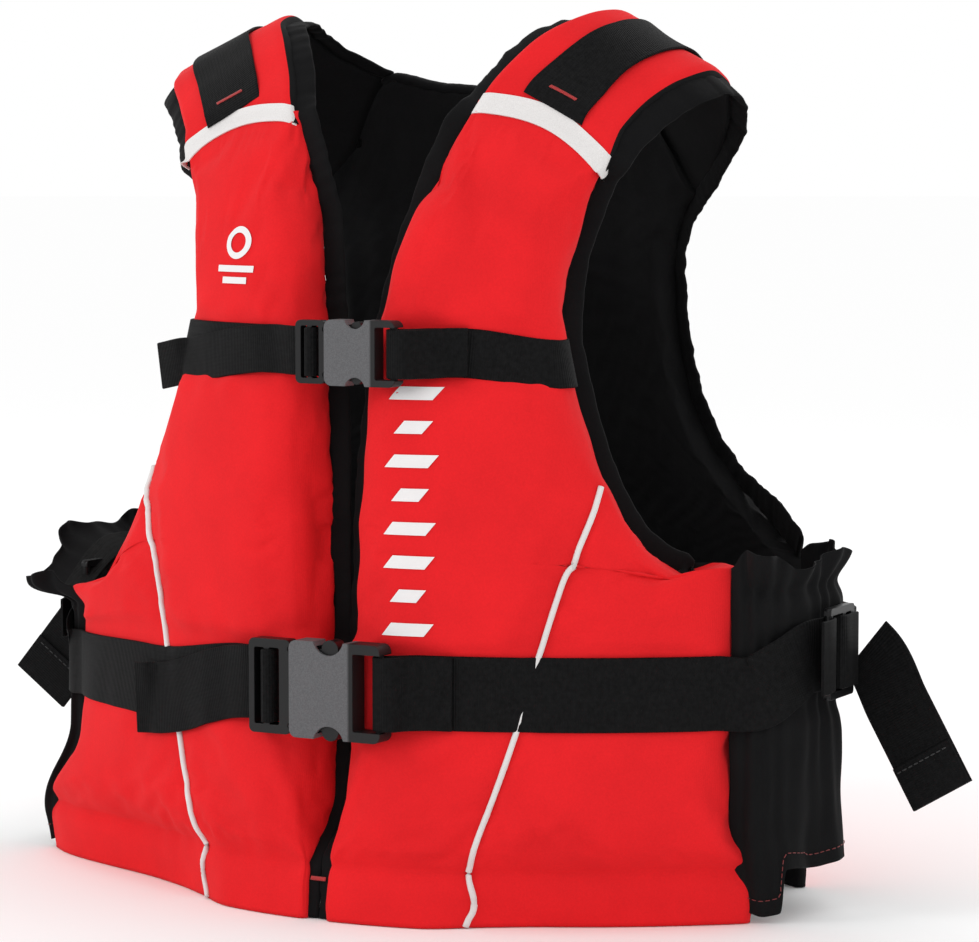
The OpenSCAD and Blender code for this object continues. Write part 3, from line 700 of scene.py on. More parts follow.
def thread_material(name, colour):
    """Sewing thread with its twist."""
    paint = Paint(name, colour, 0.55, sheen=0.2)
    twist = paint.noise(paint.coordinates["Object"], 2500, 1, 0.5)
    dye = paint.colours(twist, [(0.3, shade(colour, 0.75)), (0.7, shade(colour, 1.15))])
    return paint.finish(dye, paint.bump(twist, 0.4, 0.0001))


red_cloth = woven_cloth("red_cloth", RED, 0.03)
black_cloth = woven_cloth("black_cloth", BLACK, 0.02, spread=0.3, specular=0.05)
black_webbing = webbing_cloth("black_webbing", WEBBING_BLACK)
binding_cloth = woven_cloth("binding_cloth", BINDING_BLACK, 0.02, spread=0.3, fold=0.6)
elastic_cloth = webbing_cloth("elastic_cloth", (0.007, 0.007, 0.007), 0.0009)
piping_cloth = woven_cloth("piping_cloth", (0.72, 0.71, 0.70), 0.02, spread=0.06)
reflective = reflective_cloth("reflective_tape")
print_ink = woven_cloth("print_ink", (0.80, 0.78, 0.78), 0.0, spread=0.04)
socket_plastic = moulded_plastic("socket_plastic", SOCKET_GREY, 0.5, end=SOCKET_END)
plug_plastic = moulded_plastic("plug_plastic", PLUG_BLACK, 0.36)
red_thread = thread_material("red_thread", (0.42, 0.02, 0.02))
dark_red_thread = thread_material("dark_red_thread", (0.20, 0.012, 0.012))
black_thread = thread_material("black_thread", (0.02, 0.02, 0.02))


# --- straps and strips ----------------------------------------------------------------------

def ribbon(name, path, width, thick, wide, material, side=1, spacing=1.6, cells=8, wave=0.0, seed=1):
    """Webbing along a path, with rounded edges and UVs in metres along and across it."""
    p = np.array(path, float)
    ways = np.broadcast_to(np.asarray(wide, float), p.shape)
    both = through(np.concatenate([p, ways], 1), spacing)
    p = both[:, :3]
    up, out = ribbon_frame(p, both[:, 3:])
    if wave:
        p = p + out * (wave * ripple(p, 38, seed))[:, None]
    profile = [(-0.5, 0.0)]
    edge = 0.5 - 0.45 / width
    profile += [(-edge + 2 * edge * k / cells, 0.5) for k in range(cells + 1)]
    profile += [(0.5, 0.0)]
    profile += [(edge - 2 * edge * k / cells, -0.5) for k in range(cells + 1)]
    a = np.array([q[0] for q in profile]) * width
    b = np.array([q[1] for q in profile]) * thick
    grid = p[:, None] + up[:, None] * a[None, :, None] + out[:, None] * b[None, :, None]
    uvs = np.stack(np.broadcast_arrays(run_along(p)[:, None] * MM, a[None] * MM), -1)
    obj = add_mesh(name, grid, tube_faces(*grid.shape[:2]), material, side, uvs=uvs)
    face_outward(obj)
    mark_sharp(obj)
    return obj


def tube(name, path, radii, material, side, spacing, sides, ruffle=None, across=(0, 0, 1), sizes=1.0):
    """A closed tube along a path. radii is (across, thick), and across its wide way.

    sizes scales the wide way, once or at each point. ruffle is the size of its
    puckers, their pitch and their seed."""
    p = np.array(path, float)
    ways = np.broadcast_to(np.asarray(across, float), p.shape)
    sizes = np.broadcast_to(np.asarray(sizes, float), len(p))[:, None]
    both = through(np.concatenate([p, ways, sizes], 1), spacing)
    p, sizes = both[:, :3], both[:, 6:]
    up, out = ribbon_frame(p, both[:, 3:6])
    angles = np.linspace(0, 2 * math.pi, sides, endpoint=False)
    a = np.sign(np.cos(angles)) * np.abs(np.cos(angles)) ** 0.8 * radii[0]
    b = np.sign(np.sin(angles)) * np.abs(np.sin(angles)) ** 0.8 * radii[1]
    grid = p[:, None] + up[:, None] * a[None, :, None] * sizes[:, None] + out[:, None] * b[None, :, None]
    if ruffle is not None:
        swing, pitch, seed = ruffle
        run = run_along(p)
        line = np.stack([run, run * 0, run * 0], 1)
        push = ripple(line, pitch, seed) + 0.6 * ripple(line, pitch * 0.45, seed + 5)
        shift = ripple(line, pitch * 0.8, seed + 9)
        at_edges = 0.4 + 0.6 * np.abs(a / radii[0])
        grid = grid + out[:, None] * (swing * push)[:, None, None] * at_edges[None, :, None]
        grid = grid + up[:, None] * (swing * 0.5 * shift)[:, None, None]
    obj = add_mesh(name, grid, tube_faces(*grid.shape[:2]), material, side)
    face_outward(obj)
    return obj


def stitches(name, starts, ends, material, side, radius):
    """Threads from each start to each end, arched like sewn stitches."""
    points, faces = [], []
    for a, b in zip(np.asarray(starts, float), np.asarray(ends, float)):
        along = unit(b - a)
        up = unit(np.cross(along, [0.13, 0.21, 0.97]))
        out = np.cross(along, up)
        base = len(points)
        for share, size in ((0, 0.45), (0.2, 1), (0.8, 1), (1, 0.45)):
            for k in range(6):
                angle = k * math.pi / 3
                spoke = up * math.cos(angle) + out * math.sin(angle)
                points.append(a + (b - a) * share + radius * size * spoke)
        faces += [tuple(base + i for i in face) for face in tube_faces(4, 6)]
    obj = add_mesh(name, points, faces, material, side)
    face_outward(obj)
    return obj


TACK_R = 0.42


def stitch_row(path):
    """The start and end of each stitch along a path."""
    length, gap = 2.6, 1.1
    p = through(path, 0.5)
    run = run_along(p)
    at = np.arange(0, run[-1] - length, length + gap)
    return [np.stack([np.interp(s, run, p[:, k]) for k in range(3)], 1) for s in (at, at + length)]


# --- front panels ---------------------------------------------------------------------------

def front_rows():
    """Row numbers up a front panel, closer together about the hem seam."""
    return np.concatenate([np.linspace(-1, -0.2, 5), np.linspace(0, 1, 10)[:-1], np.linspace(1, 14, 66)])


def join_rise(side_name, share):
    """How far the seam of panel and shoulder stands above the pattern's line."""
    inner, outer = TAPE_ENDS[side_name]
    return inner + (outer - inner) * share + 9 * np.sin(np.pi * np.clip(share, 0, 1))


def shoulder_row_length(share):
    """How long the shoulder's first row is at a share of its width."""
    return np.linalg.norm(yoke_point(1, share, 0) - yoke_point(0, share, 0), axis=-1)


def shoulder_start(side_name, share):
    """The shoulder's row number at its seam with the panel."""
    return np.maximum(join_rise(side_name, share) / shoulder_row_length(share), 0)


def front_grid(side_name):
    """The panel's points before it is filled, with their share, height and zone."""
    points, shares, zones, heights = [], [], [], []
    for v in front_rows():
        v0 = max(v, 0)
        x0, x1 = float(panel_x(v0, 0)), float(panel_x(v0, 1))
        tuck = 3.0 * step(-v, 0.1, 1.0)
        width = x1 - x0
        front, back = float(panel_front_depth(v)), float(panel_back_depth(v))
        u, depth, zone = ring_profile(width, front, back, PANEL_CELLS)
        share = u / width
        edge = np.abs(2 * share - 1)
        depth = depth + np.where(depth < front + 14, 1.8 * edge ** 4, 0) * step(v, 0, 1)
        x = x0 + (x1 - tuck - x0) * share
        z = panel_z(v, share)
        top = front_point(panel_x(14, share), panel_z(14, share), 0)
        join = yoke_point(shoulder_start(side_name, share), share, 0) - top
        points.append(front_point(x, z, depth) + join * float(step(v, 11.5, 14)))
        shares.append(share)
        zones.append(zone)
        heights.append(np.full(len(u), v))
    return np.array(points), np.array(shares), np.array(zones, float), np.array(heights)


def seam_share(v):
    """The share of the panel's width where the piped seam is."""
    return smooth_lookup(v, SEAM_SHARE)


def front_held(share, zone, v):
    """Where seams hold the cover: the hem, the top, the piped seam and the back edge."""
    held = np.maximum(1 - step(v, 0.0, 0.35), step(v, 13.5, 13.9))
    lining = (zone > 1.5) & (zone < 2.5)
    held = np.maximum(held, np.where(lining, 0.55, 0))
    near_seam = bump_at((share - seam_share(v)) * PANEL_WIDTH, 0, 5)
    held = np.maximum(held, 0.8 * near_seam * (v < LAST_SIDE_ROW + 0.3) * (zone < 0.5))
    return np.clip(held, 0, 1)


def belt_press(points):
    """From 0 to 1, how firmly a belt holds the cover at each point."""
    z = points[..., 2]
    chest = band(z, CHEST_Z - 0.5, CHEST_WEB / 2 - 1, 8)
    waist = band(z, WAIST_Z, WAIST_WEB / 2 - 1, 9)
    return np.maximum(chest, waist)


def front_panel(side_name, side):
    """A filled front panel. What lies on it is placed by the grid and tree returned."""
    grid, share, zone, v = front_grid(side_name)
    flat = grid.copy()
    held = front_held(share, zone, v)
    full = swell(side_name + "_front", grid, held, cap=4.5, pressure=3.0, spare=0.012)
    full = flat + (full - flat) * (1 - 0.9 * belt_press(flat))[..., None]
    full, share, zone, v, flat = (finer(a) for a in (full, share, zone, v, flat))
    out = ring_normals(full)
    mirrored = full * np.array([side, 1, 1])
    front = np.clip(1 - np.abs(zone), 0, 1)
    press = belt_press(flat)
    z = flat[..., 2]
    from_seam = (share - seam_share(v)) * PANEL_WIDTH
    piped = (v < LAST_SIDE_ROW + 0.2) * (v > -0.1)
    push = -1.3 * bump_at(from_seam, 0, 3.5) * piped * front
    along_hem = ripple(mirrored, 22, 11 + side, stretch=(0.55, 1, 6))
    push += 0.9 * along_hem * bump_at(z, HEM_SEAM_Z + 8, 15) * front
    push += -1.2 * bump_at(z, HEM_SEAM_Z, 2.6)
    across_seam = ripple(mirrored, 16, 21 + side, stretch=(3, 1, 0.7))
    push += 0.5 * across_seam * bump_at(from_seam, 0, 14) * piped * front
    side_area = step(from_seam, 2, 30) * (v < LAST_SIDE_ROW + 0.5)
    push += 1.1 * ripple(mirrored, 90, 31 + side, stretch=(1, 1, 1.6)) * (1 - press) * front
    fine = ripple(mirrored, 34, 41 + side, stretch=(1, 1, 1.8))
    push += 0.35 * fine * (1 - press) * (0.4 + 0.6 * side_area)
    beside = ((WAIST_Z + 26, 9), (WAIST_Z - 26, 9), (CHEST_Z + 19, 8), (CHEST_Z - 19, 8))
    near_belt = sum(bump_at(z, level, width) for level, width in beside)
    push += 0.55 * near_belt * ripple(mirrored, 26, 51 + side, stretch=(0.9, 1, 3)) * front
    walls = (zone > 2.4) | (np.abs(zone - 1) < 0.5)
    push += 0.8 * ripple(mirrored, 30, 61 + side, stretch=(1, 1, 0.8)) * walls * (1 - press)
    push *= step(v, -1.0, -0.7)
    full = full + out * push[..., None]
    full[..., 2] = np.maximum(full[..., 2], 0)
    nodes = [f"{side_name}_{part}" for part in ("front_foam", "front_shell", "side_shell", "front_hem")]
    split_pad(f"{side_name}_front_panel", full, zone, side, nodes, [f"{side_name}_front_lining"])
    return {"grid": full, "tree": tree_of(full)}


def seam_path(tree, lift):
    """The piped seam's line on the filled panel."""
    v = np.linspace(-0.98, LAST_SIDE_ROW - 0.05, 70)
    share = seam_share(np.maximum(v, 0)) + 0.012 * step(-v, 0, 0.5) - 0.02 * step(-v, 0.6, 1.0)
    vv = np.maximum(v, 0)
    start = front_point(panel_x(vv, share), panel_z(v, share), 0)
    return laid_on(tree, start, front_inward(start[:, 0], start[:, 2]), lift)


def piping(side_name, side, tree):
    """A white piped cord let into the seam."""
    path = seam_path(tree, 0.9)
    cord = tube(f"{side_name}_piping_cord", path, (1.55, 1.45), piping_cloth, side, spacing=2.0, sides=12)
    dress(cord, "vest", "white_piping", f"{side_name}_piping")


OVERLAP = 3.0


def flange(edges, inward, middles, half, droop):
    """Where cloth folded over an edge lies: its middle line and its wide way.

    half is half of its width. It covers the edge by OVERLAP."""
    along = unit(np.gradient(edges, axis=0))
    out = unit(np.cross(along, inward))
    out = out * np.sign(((edges - middles) * out).sum(1, keepdims=True))
    wide = unit(out + droop * inward)
    return edges + wide * (half - OVERLAP)[:, None], wide


def panel_edge(share, low, high, half):
    """The binding's line on one edge of a front panel."""
    v = np.linspace(low, high, 60)
    vv = np.maximum(v, 0)
    x, z = panel_x(vv, share), panel_z(v, share)
    edges = front_point(x, z, panel_back_depth(v) - 3.4)
    inward = unit(front_point(x, z, panel_back_depth(v)) - front_point(x, z, 0))
    middles = front_point(panel_x(vv, 0.5), panel_z(v, 0.5), panel_back_depth(v))
    return flange(edges, inward, middles, half(v), 0.12)


def yoke_edge(share, low, high, half):
    """The binding's line on one edge of a shoulder."""
    r = np.linspace(low, high, 26)
    edges = yoke_point(r, share, YOKE_T * 0.62)
    inward = unit(yoke_point(r, share, YOKE_T) - yoke_point(r, share, 0))
    middles = yoke_point(r, 0.5, YOKE_T * 0.5)
    return flange(edges, inward, middles, half(r), 0.45)


def back_edge(low, high, half):
    """The binding's line on the armhole edge of the back, from the shoulder down."""
    i = np.linspace(high, low, 40)
    x = back_half(i) - 5 * arm_part(i)
    depth = BACK_T * 0.5 * back_thin(i)
    edges = back_point(x, back_z(i, x), depth)
    inward = unit(back_point(x, back_z(i, x), 20) - back_point(x, back_z(i, x), 0))
    middles = back_point(x * 0.5, back_z(i, x * 0.5), depth)
    return flange(edges, inward, middles, half(i), 0.3)


def bindings(side_name, side):
    """Black cloth folded over the neck and arm edges, puckered by its stitching."""
    full = 6.4

    def neck_half(v):
        return np.minimum(full, (panel_x(np.maximum(v, 0), 0) + 2.8) / 2)

    def even(v):
        return np.full(len(v), full)

    def rear_half(i):
        return full + 4 * (1 - step(i, 5.2, 6.6))

    def strip(name, stretches, halves, seed, node):
        path, ways = (np.concatenate(part) for part in zip(*stretches))
        folded = tube(f"{side_name}_{name}", path, (full, 1.5), binding_cloth, side, spacing=1.6, sides=14,
                      ruffle=(0.7, 13, seed + side), across=ways, sizes=np.concatenate(halves) / full)
        dress(folded, "vest", "black_cloth", f"{side_name}_{node}")

    lower, upper = panel_edge(0, -1, 13.9, neck_half), yoke_edge(0, 0.5, 7.7, even)
    tapered = even(upper[0])
    tapered[-6:] *= np.linspace(1, 0.4, 6)
    neck_halves = neck_half(np.linspace(-1, 13.9, len(lower[0])))
    strip("neck_binding", [lower, upper], [neck_halves, tapered], 71, "centre_binding")

    lower, upper = panel_edge(1, 5.9, 13.9, even), yoke_edge(1, 0.5, 7.4, even)
    rear = back_edge(4.3, 11.0, rear_half)
    halves = [even(lower[0]), even(upper[0]), rear_half(np.linspace(11.0, 4.3, len(rear[0])))]
    strip("arm_binding_strip", [lower, upper, rear], halves, 81, "arm_binding")


def centre_tack():
    """A red bar tack that holds the two neck bindings together above the hem."""
    depth = float(panel_back_depth(-0.3)) - 5.8
    starts = front_point(np.linspace(-4.5, 4.0, 14), 19.5, depth)
    tack = stitches("centre_bar_tack", starts, starts + [0.5, 0, 2.2], red_thread, 1, radius=TACK_R)
    dress(tack, "vest", "red_cloth")


# --- back panel -------------------------------------------------------------------------------

def back_half(i):
    """Half of the back's width at row i."""
    return smooth_lookup(i, column(BACK_ROWS + [[BACK_TOP_HALF, 0, 0]], 0))


def arm_part(i):
    """1 along the back's armholes, and 0 below and above them."""
    return step(i, 5, 7) * (1 - step(i, 11, 12))


def back_top_z(x):
    """The height of the back's top edge."""
    return smooth_lookup(np.abs(x), BACK_TOP)


def back_z(i, x):
    """Height on the back: row 0 is the hem seam and row 12 the neck and shoulder edge."""
    i = np.asarray(i, float)
    x = np.abs(np.asarray(x, float))
    middle = smooth_lookup(np.minimum(i, 11), column(BACK_ROWS, 1))
    edge = smooth_lookup(np.minimum(i, 11), column(BACK_ROWS, 2))
    body = middle + (edge - middle) * (x / back_half(np.minimum(i, 11))) ** 2
    z = body + (back_top_z(x) - body) * np.where(i > 11, i - 11, 0)
    return np.where(i < 0, HEM_SEAM_Z * (1 + i), z)


def back_thin(i):
    """The share of the back's full thickness that it has at row i."""
    return smooth_lookup(i, [[-1, 0.36], [-0.3, 0.36], [0, 0.42], [0.6, 0.9], [1.2, 1], [9, 1], [12, 0.45]])


def back_panel():
    """The padded back: red outside, black lining with soft upright folds inside."""
    points, shares, zones, heights = [], [], [], []
    rows = np.concatenate([np.linspace(-1, -0.2, 5), np.linspace(0, 1, 8)[:-1], np.linspace(1, 12, 62)])
    for v in rows:
        half = float(back_half(max(v, 0)))
        thick = BACK_T * float(back_thin(v))
        front = 4.5 * float(1 - step(v, -0.2, 0.8))
        u, depth, zone = ring_profile(2 * half, front, front + thick - (4 if v < 0.5 else 0), 52)
        share = u / (2 * half)
        x = half * (1 - 2 * share)
        x = x - np.where(x > 0, 5 * arm_part(v), 0) * (x / half) ** 2
        x = x - np.where(x < 0, 14 * band(back_z(v, x), 318, 48, 40), 0) * (x / half) ** 2
        depth = depth + np.where(depth < front + 14, 1.5 * np.abs(2 * share - 1) ** 4, 0)
        points.append(back_point(x, back_z(v, x), depth))
        shares.append(share)
        zones.append(zone)
        heights.append(np.full(len(u), v))
    grid, share, zone, v = np.array(points), np.array(shares), np.array(zones, float), np.array(heights)
    held = np.maximum(1 - step(v, 0, 0.35), step(v, 11.3, 11.8))
    held = np.maximum(held, np.where(np.abs(zone - 2) < 0.5, 0.35, 0))
    full = swell("back", grid, held, cap=6.0, pressure=3.0, spare=0.012)
    full, share, zone, v, flat = (finer(a) for a in (full, share, zone, v, grid))
    out = ring_normals(full)
    lining = np.clip(1 - np.abs(zone - 2), 0, 1)
    outside = np.clip(1 - np.abs(zone), 0, 1)
    z = flat[..., 2]
    push = 1.7 * ripple(flat, 44, 91, stretch=(1, 1, 5)) * lining
    push += 0.9 * ripple(flat, 18, 92, stretch=(1, 1, 6)) * lining * step(z, 150, 420)
    push += 1.3 * ripple(flat, 95, 93, stretch=(1, 1, 1.5)) * outside
    push += 0.4 * ripple(flat, 34, 94, stretch=(1, 1, 1.8)) * outside
    push += -1.2 * bump_at(z, HEM_SEAM_Z, 2.6)
    push += 0.9 * ripple(flat, 22, 95, stretch=(0.55, 1, 6)) * bump_at(z, HEM_SEAM_Z + 8, 15) * outside
    push *= step(v, -1.0, -0.7) * (1 - 0.8 * step(v, 11.4, 12))
    full = full + out * push[..., None]
    full[..., 2] = np.maximum(full[..., 2], 0)
    split_pad("back_panel", full, zone, 1, ["back_foam", "back_shell", "back_hem"], ["back_lining"],
              black_walls=True)
    x = np.linspace(80, -80, 60)
    path = back_point(x, back_top_z(x) + 0.5, BACK_T * 0.22)
    ways = unit(back_point(x, back_top_z(x), 10) - back_point(x, back_top_z(x), 0))
    neck = tube("back_neck_binding_strip", path, (7.2, 3.4), binding_cloth, 1, spacing=1.7, sides=12,
                ruffle=(0.8, 12, 99), across=ways)
    dress(neck, "vest", "black_cloth", "back_neck_binding")


# --- shoulders ----------------------------------------------------------------------------------

def yoke(side_name, side):
    """A padded shoulder of red cloth between the tape and the back."""
    points, zones = [], []
    for r in np.linspace(-0.25, 8.1, 52):
        rr = min(max(r, 0), 8)
        thick = float(lookup(r, [[0, YOKE_T + 3], [2, YOKE_T], [6, YOKE_T], [8, 7]]))
        sunk = 2.6 * (1 - float(step(r, 0.0, 0.7)))
        u, depth, zone = ring_profile(80, 0.6 + sunk, thick, 20, radius=5, back_radius=3)
        share = u / 80
        depth = depth - 1.6 * (1 - (2 * share - 1) ** 2) * (zone < 0.5) * (1 - sunk / 2.6)
        start = np.maximum(shoulder_start(side_name, share) - 0.12, 0)
        number = start + (8 - start) * rr / 8
        row = yoke_point(number, share, depth)
        if r < 0:
            row = row + (row - yoke_point(start + 0.08, share, depth))
        elif r > 8:
            row = row + (row - yoke_point(number - 0.1, share, depth))
        points.append(row)
        zones.append(zone)
    grid, zone = np.array(points), np.array(zones, float)
    held = np.zeros(zone.shape)
    held[:3] = 1
    held[-3:] = 1
    held = np.maximum(held, np.where(np.abs(zone - 2) < 0.5, 0.4, 0))
    full = swell(side_name + "_yoke", grid, held, cap=2.0, pressure=2.0, spare=0.01)
    full, zone = finer(full), finer(zone)
    out = ring_normals(full)
    push = 0.6 * ripple(full * np.array([side, 1, 1]), 30, 101 + side, stretch=(2, 1, 1))
    full = full + out * push[..., None]
    split_pad(f"{side_name}_shoulder_pad", full, zone, side, [f"{side_name}_shoulder_yoke"], [],
              black_walls=True)
    return full


def shoulder_strap(side_name, side, tree):
    """Wide webbing sewn along the shoulder, with a bar tack at its lower end."""
    low = (join_rise(side_name, 0.5) + 5.4) / shoulder_row_length(0.5)
    r = np.linspace(float(low), 7.9, 60)
    inward = unit(yoke_point(r, 0.5, 1) - yoke_point(r, 0.5, 0))
    path = laid_on(tree, yoke_point(r, 0.5, -6), inward, 0.9)
    wide = unit(yoke_point(r, 0.7, 0) - yoke_point(r, 0.3, 0))
    strap = ribbon(f"{side_name}_shoulder_strap", path, WAIST_WEB, WEB_T, wide, black_webbing, side,
                   spacing=2.5)
    dress(strap, "vest", "black_webbing", f"{side_name}_shoulder_webbing")
    starts, ends = [], []
    base, across, along = path[3], wide[3], unit(path[5] - path[3])
    top = base - inward[3] * 0.9
    for k in range(22):
        a = -8.5 + 17 * k / 21
        starts.append(top + across * a - along * 0.9)
        ends.append(top + across * (a + 0.5) + along * 0.9)
    tack = stitches(f"{side_name}_bar_tack", starts, ends, red_thread, side, radius=TACK_R)
    dress(tack, "vest", "red_cloth")


def tape(side_name, side, tree):
    """A reflective tape across the seam of the front panel and the shoulder."""
    share = np.linspace(0.02, 0.985, 56)
    rise = yoke_point(1, share, 0) - yoke_point(0, share, 0)
    rows = []
    for height in np.linspace(-6, 6, 7):
        r = (join_rise(side_name, share) + height) / np.linalg.norm(rise, axis=1)
        place = yoke_point(np.maximum(r, 0), share, 0) + rise * np.minimum(r, 0)[:, None]
        inward = unit(yoke_point(np.maximum(r, 0), share, 1) - yoke_point(np.maximum(r, 0), share, 0))
        rows.append(laid_on(tree, place, inward, 0.9))
    laid = np.array(rows)
    for _ in range(2):
        laid[1:-1] = (laid[:-2] + 2 * laid[1:-1] + laid[2:]) / 4
        laid[:, 1:-1] = (laid[:, :-2] + 2 * laid[:, 1:-1] + laid[:, 2:]) / 4
    across = unit(yoke_point(r, share + 0.05, 0) - yoke_point(r, share, 0))
    folds = ((0.6, 0.6), (2.2, 1.0), (5.0, 1.2), (8.0, 1.2))
    first_end = [laid[:, :1] + inward[0] * deep - across[0] * out for deep, out in reversed(folds)]
    last_end = [laid[:, -1:] + inward[-1] * deep + across[-1] * out for deep, out in folds]
    laid = np.concatenate([*first_end, laid, *last_end], 1)
    inside = np.concatenate([np.tile(across[0], (4, 1)), inward, np.tile(-across[-1], (4, 1))])
    strip = add_sheet(f"{side_name}_tape_strip", laid, laid + inside[None] * 0.7, reflective, side)
    mark_sharp(strip)
    dress(strip, "vest", "reflective_tape", f"{side_name}_reflective_tape")


# --- gathered sides ---------------------------------------------------------------------------

def gusset_point(t, z, out):
    """A point on a side: t is degrees round from straight out, positive to the back."""
    t = np.radians(np.asarray(t, float))
    x = GUSSET_MID[0] + (GUSSET_R[0] + out) * np.cos(t)
    y = MID_Y + GUSSET_MID[1] + (GUSSET_R[1] + out) * np.sin(t)
    return np.stack(np.broadcast_arrays(x, y, z), -1)


def gusset(side_name, side):
    """A side of black cloth gathered by an elastic, ruffled above it and folded below."""
    ts = np.linspace(-98, 104, 214)
    foot = 5 + 22 * step(ts, -56, -46) + 1.5 * np.sin(ts / 9)
    head = 186 + 3.4 * np.sin(ts / 11 + 1.0) + 1.2 * np.sin(ts / 4.7) + 5 * bump_at(ts, -80, 16)
    k = np.linspace(0, 1, 110)[:, None]
    z = foot[None] + (head - foot)[None] * k
    t = np.broadcast_to(ts[None], z.shape)
    tall = step(z, 30, 95)
    gathered = bump_at(z, ELASTIC_Z, 10)
    ruffle = step(z, 172, 190)
    wave = np.sin(np.radians(t * 5.1) + 0.7 * np.sin(z / 37))
    wave = wave + 0.6 * np.sin(np.radians(t * 8.3 + 50) - z / 55)
    fine = np.sin(np.radians(t * 23) + 0.8 * np.sin(t / 9))
    belted = 1 - 0.75 * band(z, WAIST_Z + 8, 19, 16)
    out = -2.2 + wave * (3.2 - 1.6 * tall) * (1 - 0.7 * gathered) * belted
    out = out + fine * (0.3 + 0.5 * gathered + 0.35 * tall)
    out = out + ruffle * (4.5 + 3.4 * np.sin(np.radians(t * 9.5)) + 0.8 * fine)
    out = out - 2.5 * bump_at(z, ELASTIC_Z, 5) - 1.6 * band(z, WAIST_Z + 8, 17, 10)
    free = step(90 - np.abs(t), 1, 14)
    out = out * free - 3.0 * (1 - free)
    grid = gusset_point(t, z, out)
    mirrored = grid * np.array([side, 1, 1])
    grid = grid + 0.8 * ripple(mirrored, 25, 111 + side)[..., None] * np.array([0.6, 0.6, 0])
    under = gusset_point(t, z, out - 0.9) + (grid - gusset_point(t, z, out))
    sheet = add_sheet(f"{side_name}_side_cloth", grid, under, black_cloth, side)
    dress(sheet, "vest", "black_cloth", f"{side_name}_gusset")
    line = np.array([grid[int(np.argmin(np.abs(z[:, c] - foot[c] - 8))), c] for c in range(12, 200, 3)])
    middle = np.array([GUSSET_MID[0], MID_Y + GUSSET_MID[1], 0])
    line = line + unit((line - middle) * np.array([1, 1, 0])) * 0.45
    row = stitches(f"{side_name}_side_stitches", *stitch_row(line), dark_red_thread, side, radius=0.25)
    dress(row, "vest", "red_cloth")
    path = gusset_point(np.linspace(-80, 80, 30), ELASTIC_Z, -8.2)
    elastic = ribbon(f"{side_name}_side_elastic", path, 11, 1.2, [0, 0, 1], elastic_cloth, side, wave=0.5)
    dress(elastic, "vest", "elastic", f"{side_name}_gusset_elastic")


# --- belts ------------------------------------------------------------------------------------

def buckle_facts(web, origin_x, z, gap, socket_l, thick):
    """Where one buckle's bars are, from the same measures as the frame."""
    y = float(front_y_plain(30, z - web / 2)) - gap
    plug_len = web * 0.55 + 4
    return {
        "z": z,
        "thick": thick,
        "plug_len": plug_len,
        "socket_bar": (origin_x + socket_l - 3, y - thick / 2),
        "plug_bar": (origin_x - plug_len + 3.2 + plug_len * 0.30, y - thick / 2),
    }


def front_y_plain(x, z):
    """The frame's own front face, along straight lines of its table."""
    return MID_Y + lookup(z, FRONT_MID) + lookup(z, FRONT_CURL) * np.asarray(x, float) ** 2


def mirror(path):
    """A path on the other side of the vest."""
    return [[-p[0], p[1], p[2]] for p in path]


CHEST = buckle_facts(CHEST_WEB, 5, CHEST_Z, 5.5, 42, 9)
WAIST = buckle_facts(WAIST_WEB, -10, WAIST_Z, 3.4, 54, 12)
TURN_R = 2 + 0.45 + WEB_T / 2


def turn(centre, a0, a1, z):
    """Webbing half way round a socket's bar, as points."""
    return [
        [centre[0] + TURN_R * math.cos(a), centre[1] + TURN_R * math.sin(a), z]
        for a in np.radians(np.linspace(a0, a1, 9))
    ]


def plug_turn(buckle):
    """Round the plug's bar: in behind, up through one slot and down through the next."""
    bar, length = buckle["plug_bar"], buckle["plug_len"]
    h = (buckle["thick"] - 4) / 2
    reach = length * 0.06 + 0.45 + WEB_T / 2
    near = h + 0.45 + WEB_T / 2
    far = near + WEB_T + 0.4
    steps = [
        [-length * 0.6, far], [reach * 0.6, far - 0.2], [reach, h * 0.8], [reach, -h * 0.8],
        [reach * 0.7, -near], [-reach * 0.7, -near], [-reach, -h * 0.8], [-reach, h * 0.4],
        [-reach - 2.2, near + 0.2], [-length * 0.62, near],
    ]
    return mirror([[bar[0] + a, bar[1] + b, buckle["z"]] for a, b in steps])


def belt_line(panel, z, half, low_x, high_x, lift, wall=0, sag=0.0):
    """A belt's line over a front panel near one height, and the way up its width.

    It runs from low_x to high_x over the front, then round the outer wall by
    wall columns. lift is from the cloth to the belt's middle. Away from the buckle
    it sinks by sag."""
    grid = panel["grid"]
    heights = grid[..., 2]
    columns = range(grid.shape[1])
    across = np.array([np.interp(z, heights[:, c], grid[:, c, 0]) for c in columns])
    sunk = sag * step(across, 38, 122)

    def cut(level):
        return np.array([
            [np.interp(level - sunk[c], heights[:, c], grid[:, c, k]) for k in range(3)] for c in columns
        ])

    low, high = cut(z - half), cut(z + half)
    middle, up = (low + high) / 2, unit(high - low)
    around = unit(np.roll(middle, -1, 0) - np.roll(middle, 1, 0))
    out = unit(np.cross(around, up))
    out = out * np.sign(((middle - middle.mean(0)) * out).sum())
    front = [c for c in range(2 * (PANEL_CELLS + 1)) if low_x <= middle[c, 0] <= high_x]
    chosen = front + [front[-1] + 1 + k for k in range(wall)]
    chosen = chosen[::3] + ([chosen[-1]] if (len(chosen) - 1) % 3 else [])
    return middle[chosen] + out[chosen] * lift, up[chosen]


def upright(path):
    """A stretch of webbing that stands upright."""
    return path, np.broadcast_to([0.0, 0.0, 1.0], np.shape(path))


def backward(path, ways):
    """A stretch of webbing run the other way."""
    return path[::-1], ways[::-1]


def strap_along(name, parts, web, side, cells=8):
    """Webbing along several stretches, each a line and the way up its width."""
    path = np.concatenate([np.array(p, float) for p, _ in parts])
    ways = np.concatenate([np.array(w, float) for _, w in parts])
    return ribbon(name, path, web, WEB_T, ways, black_webbing, side, cells=cells)


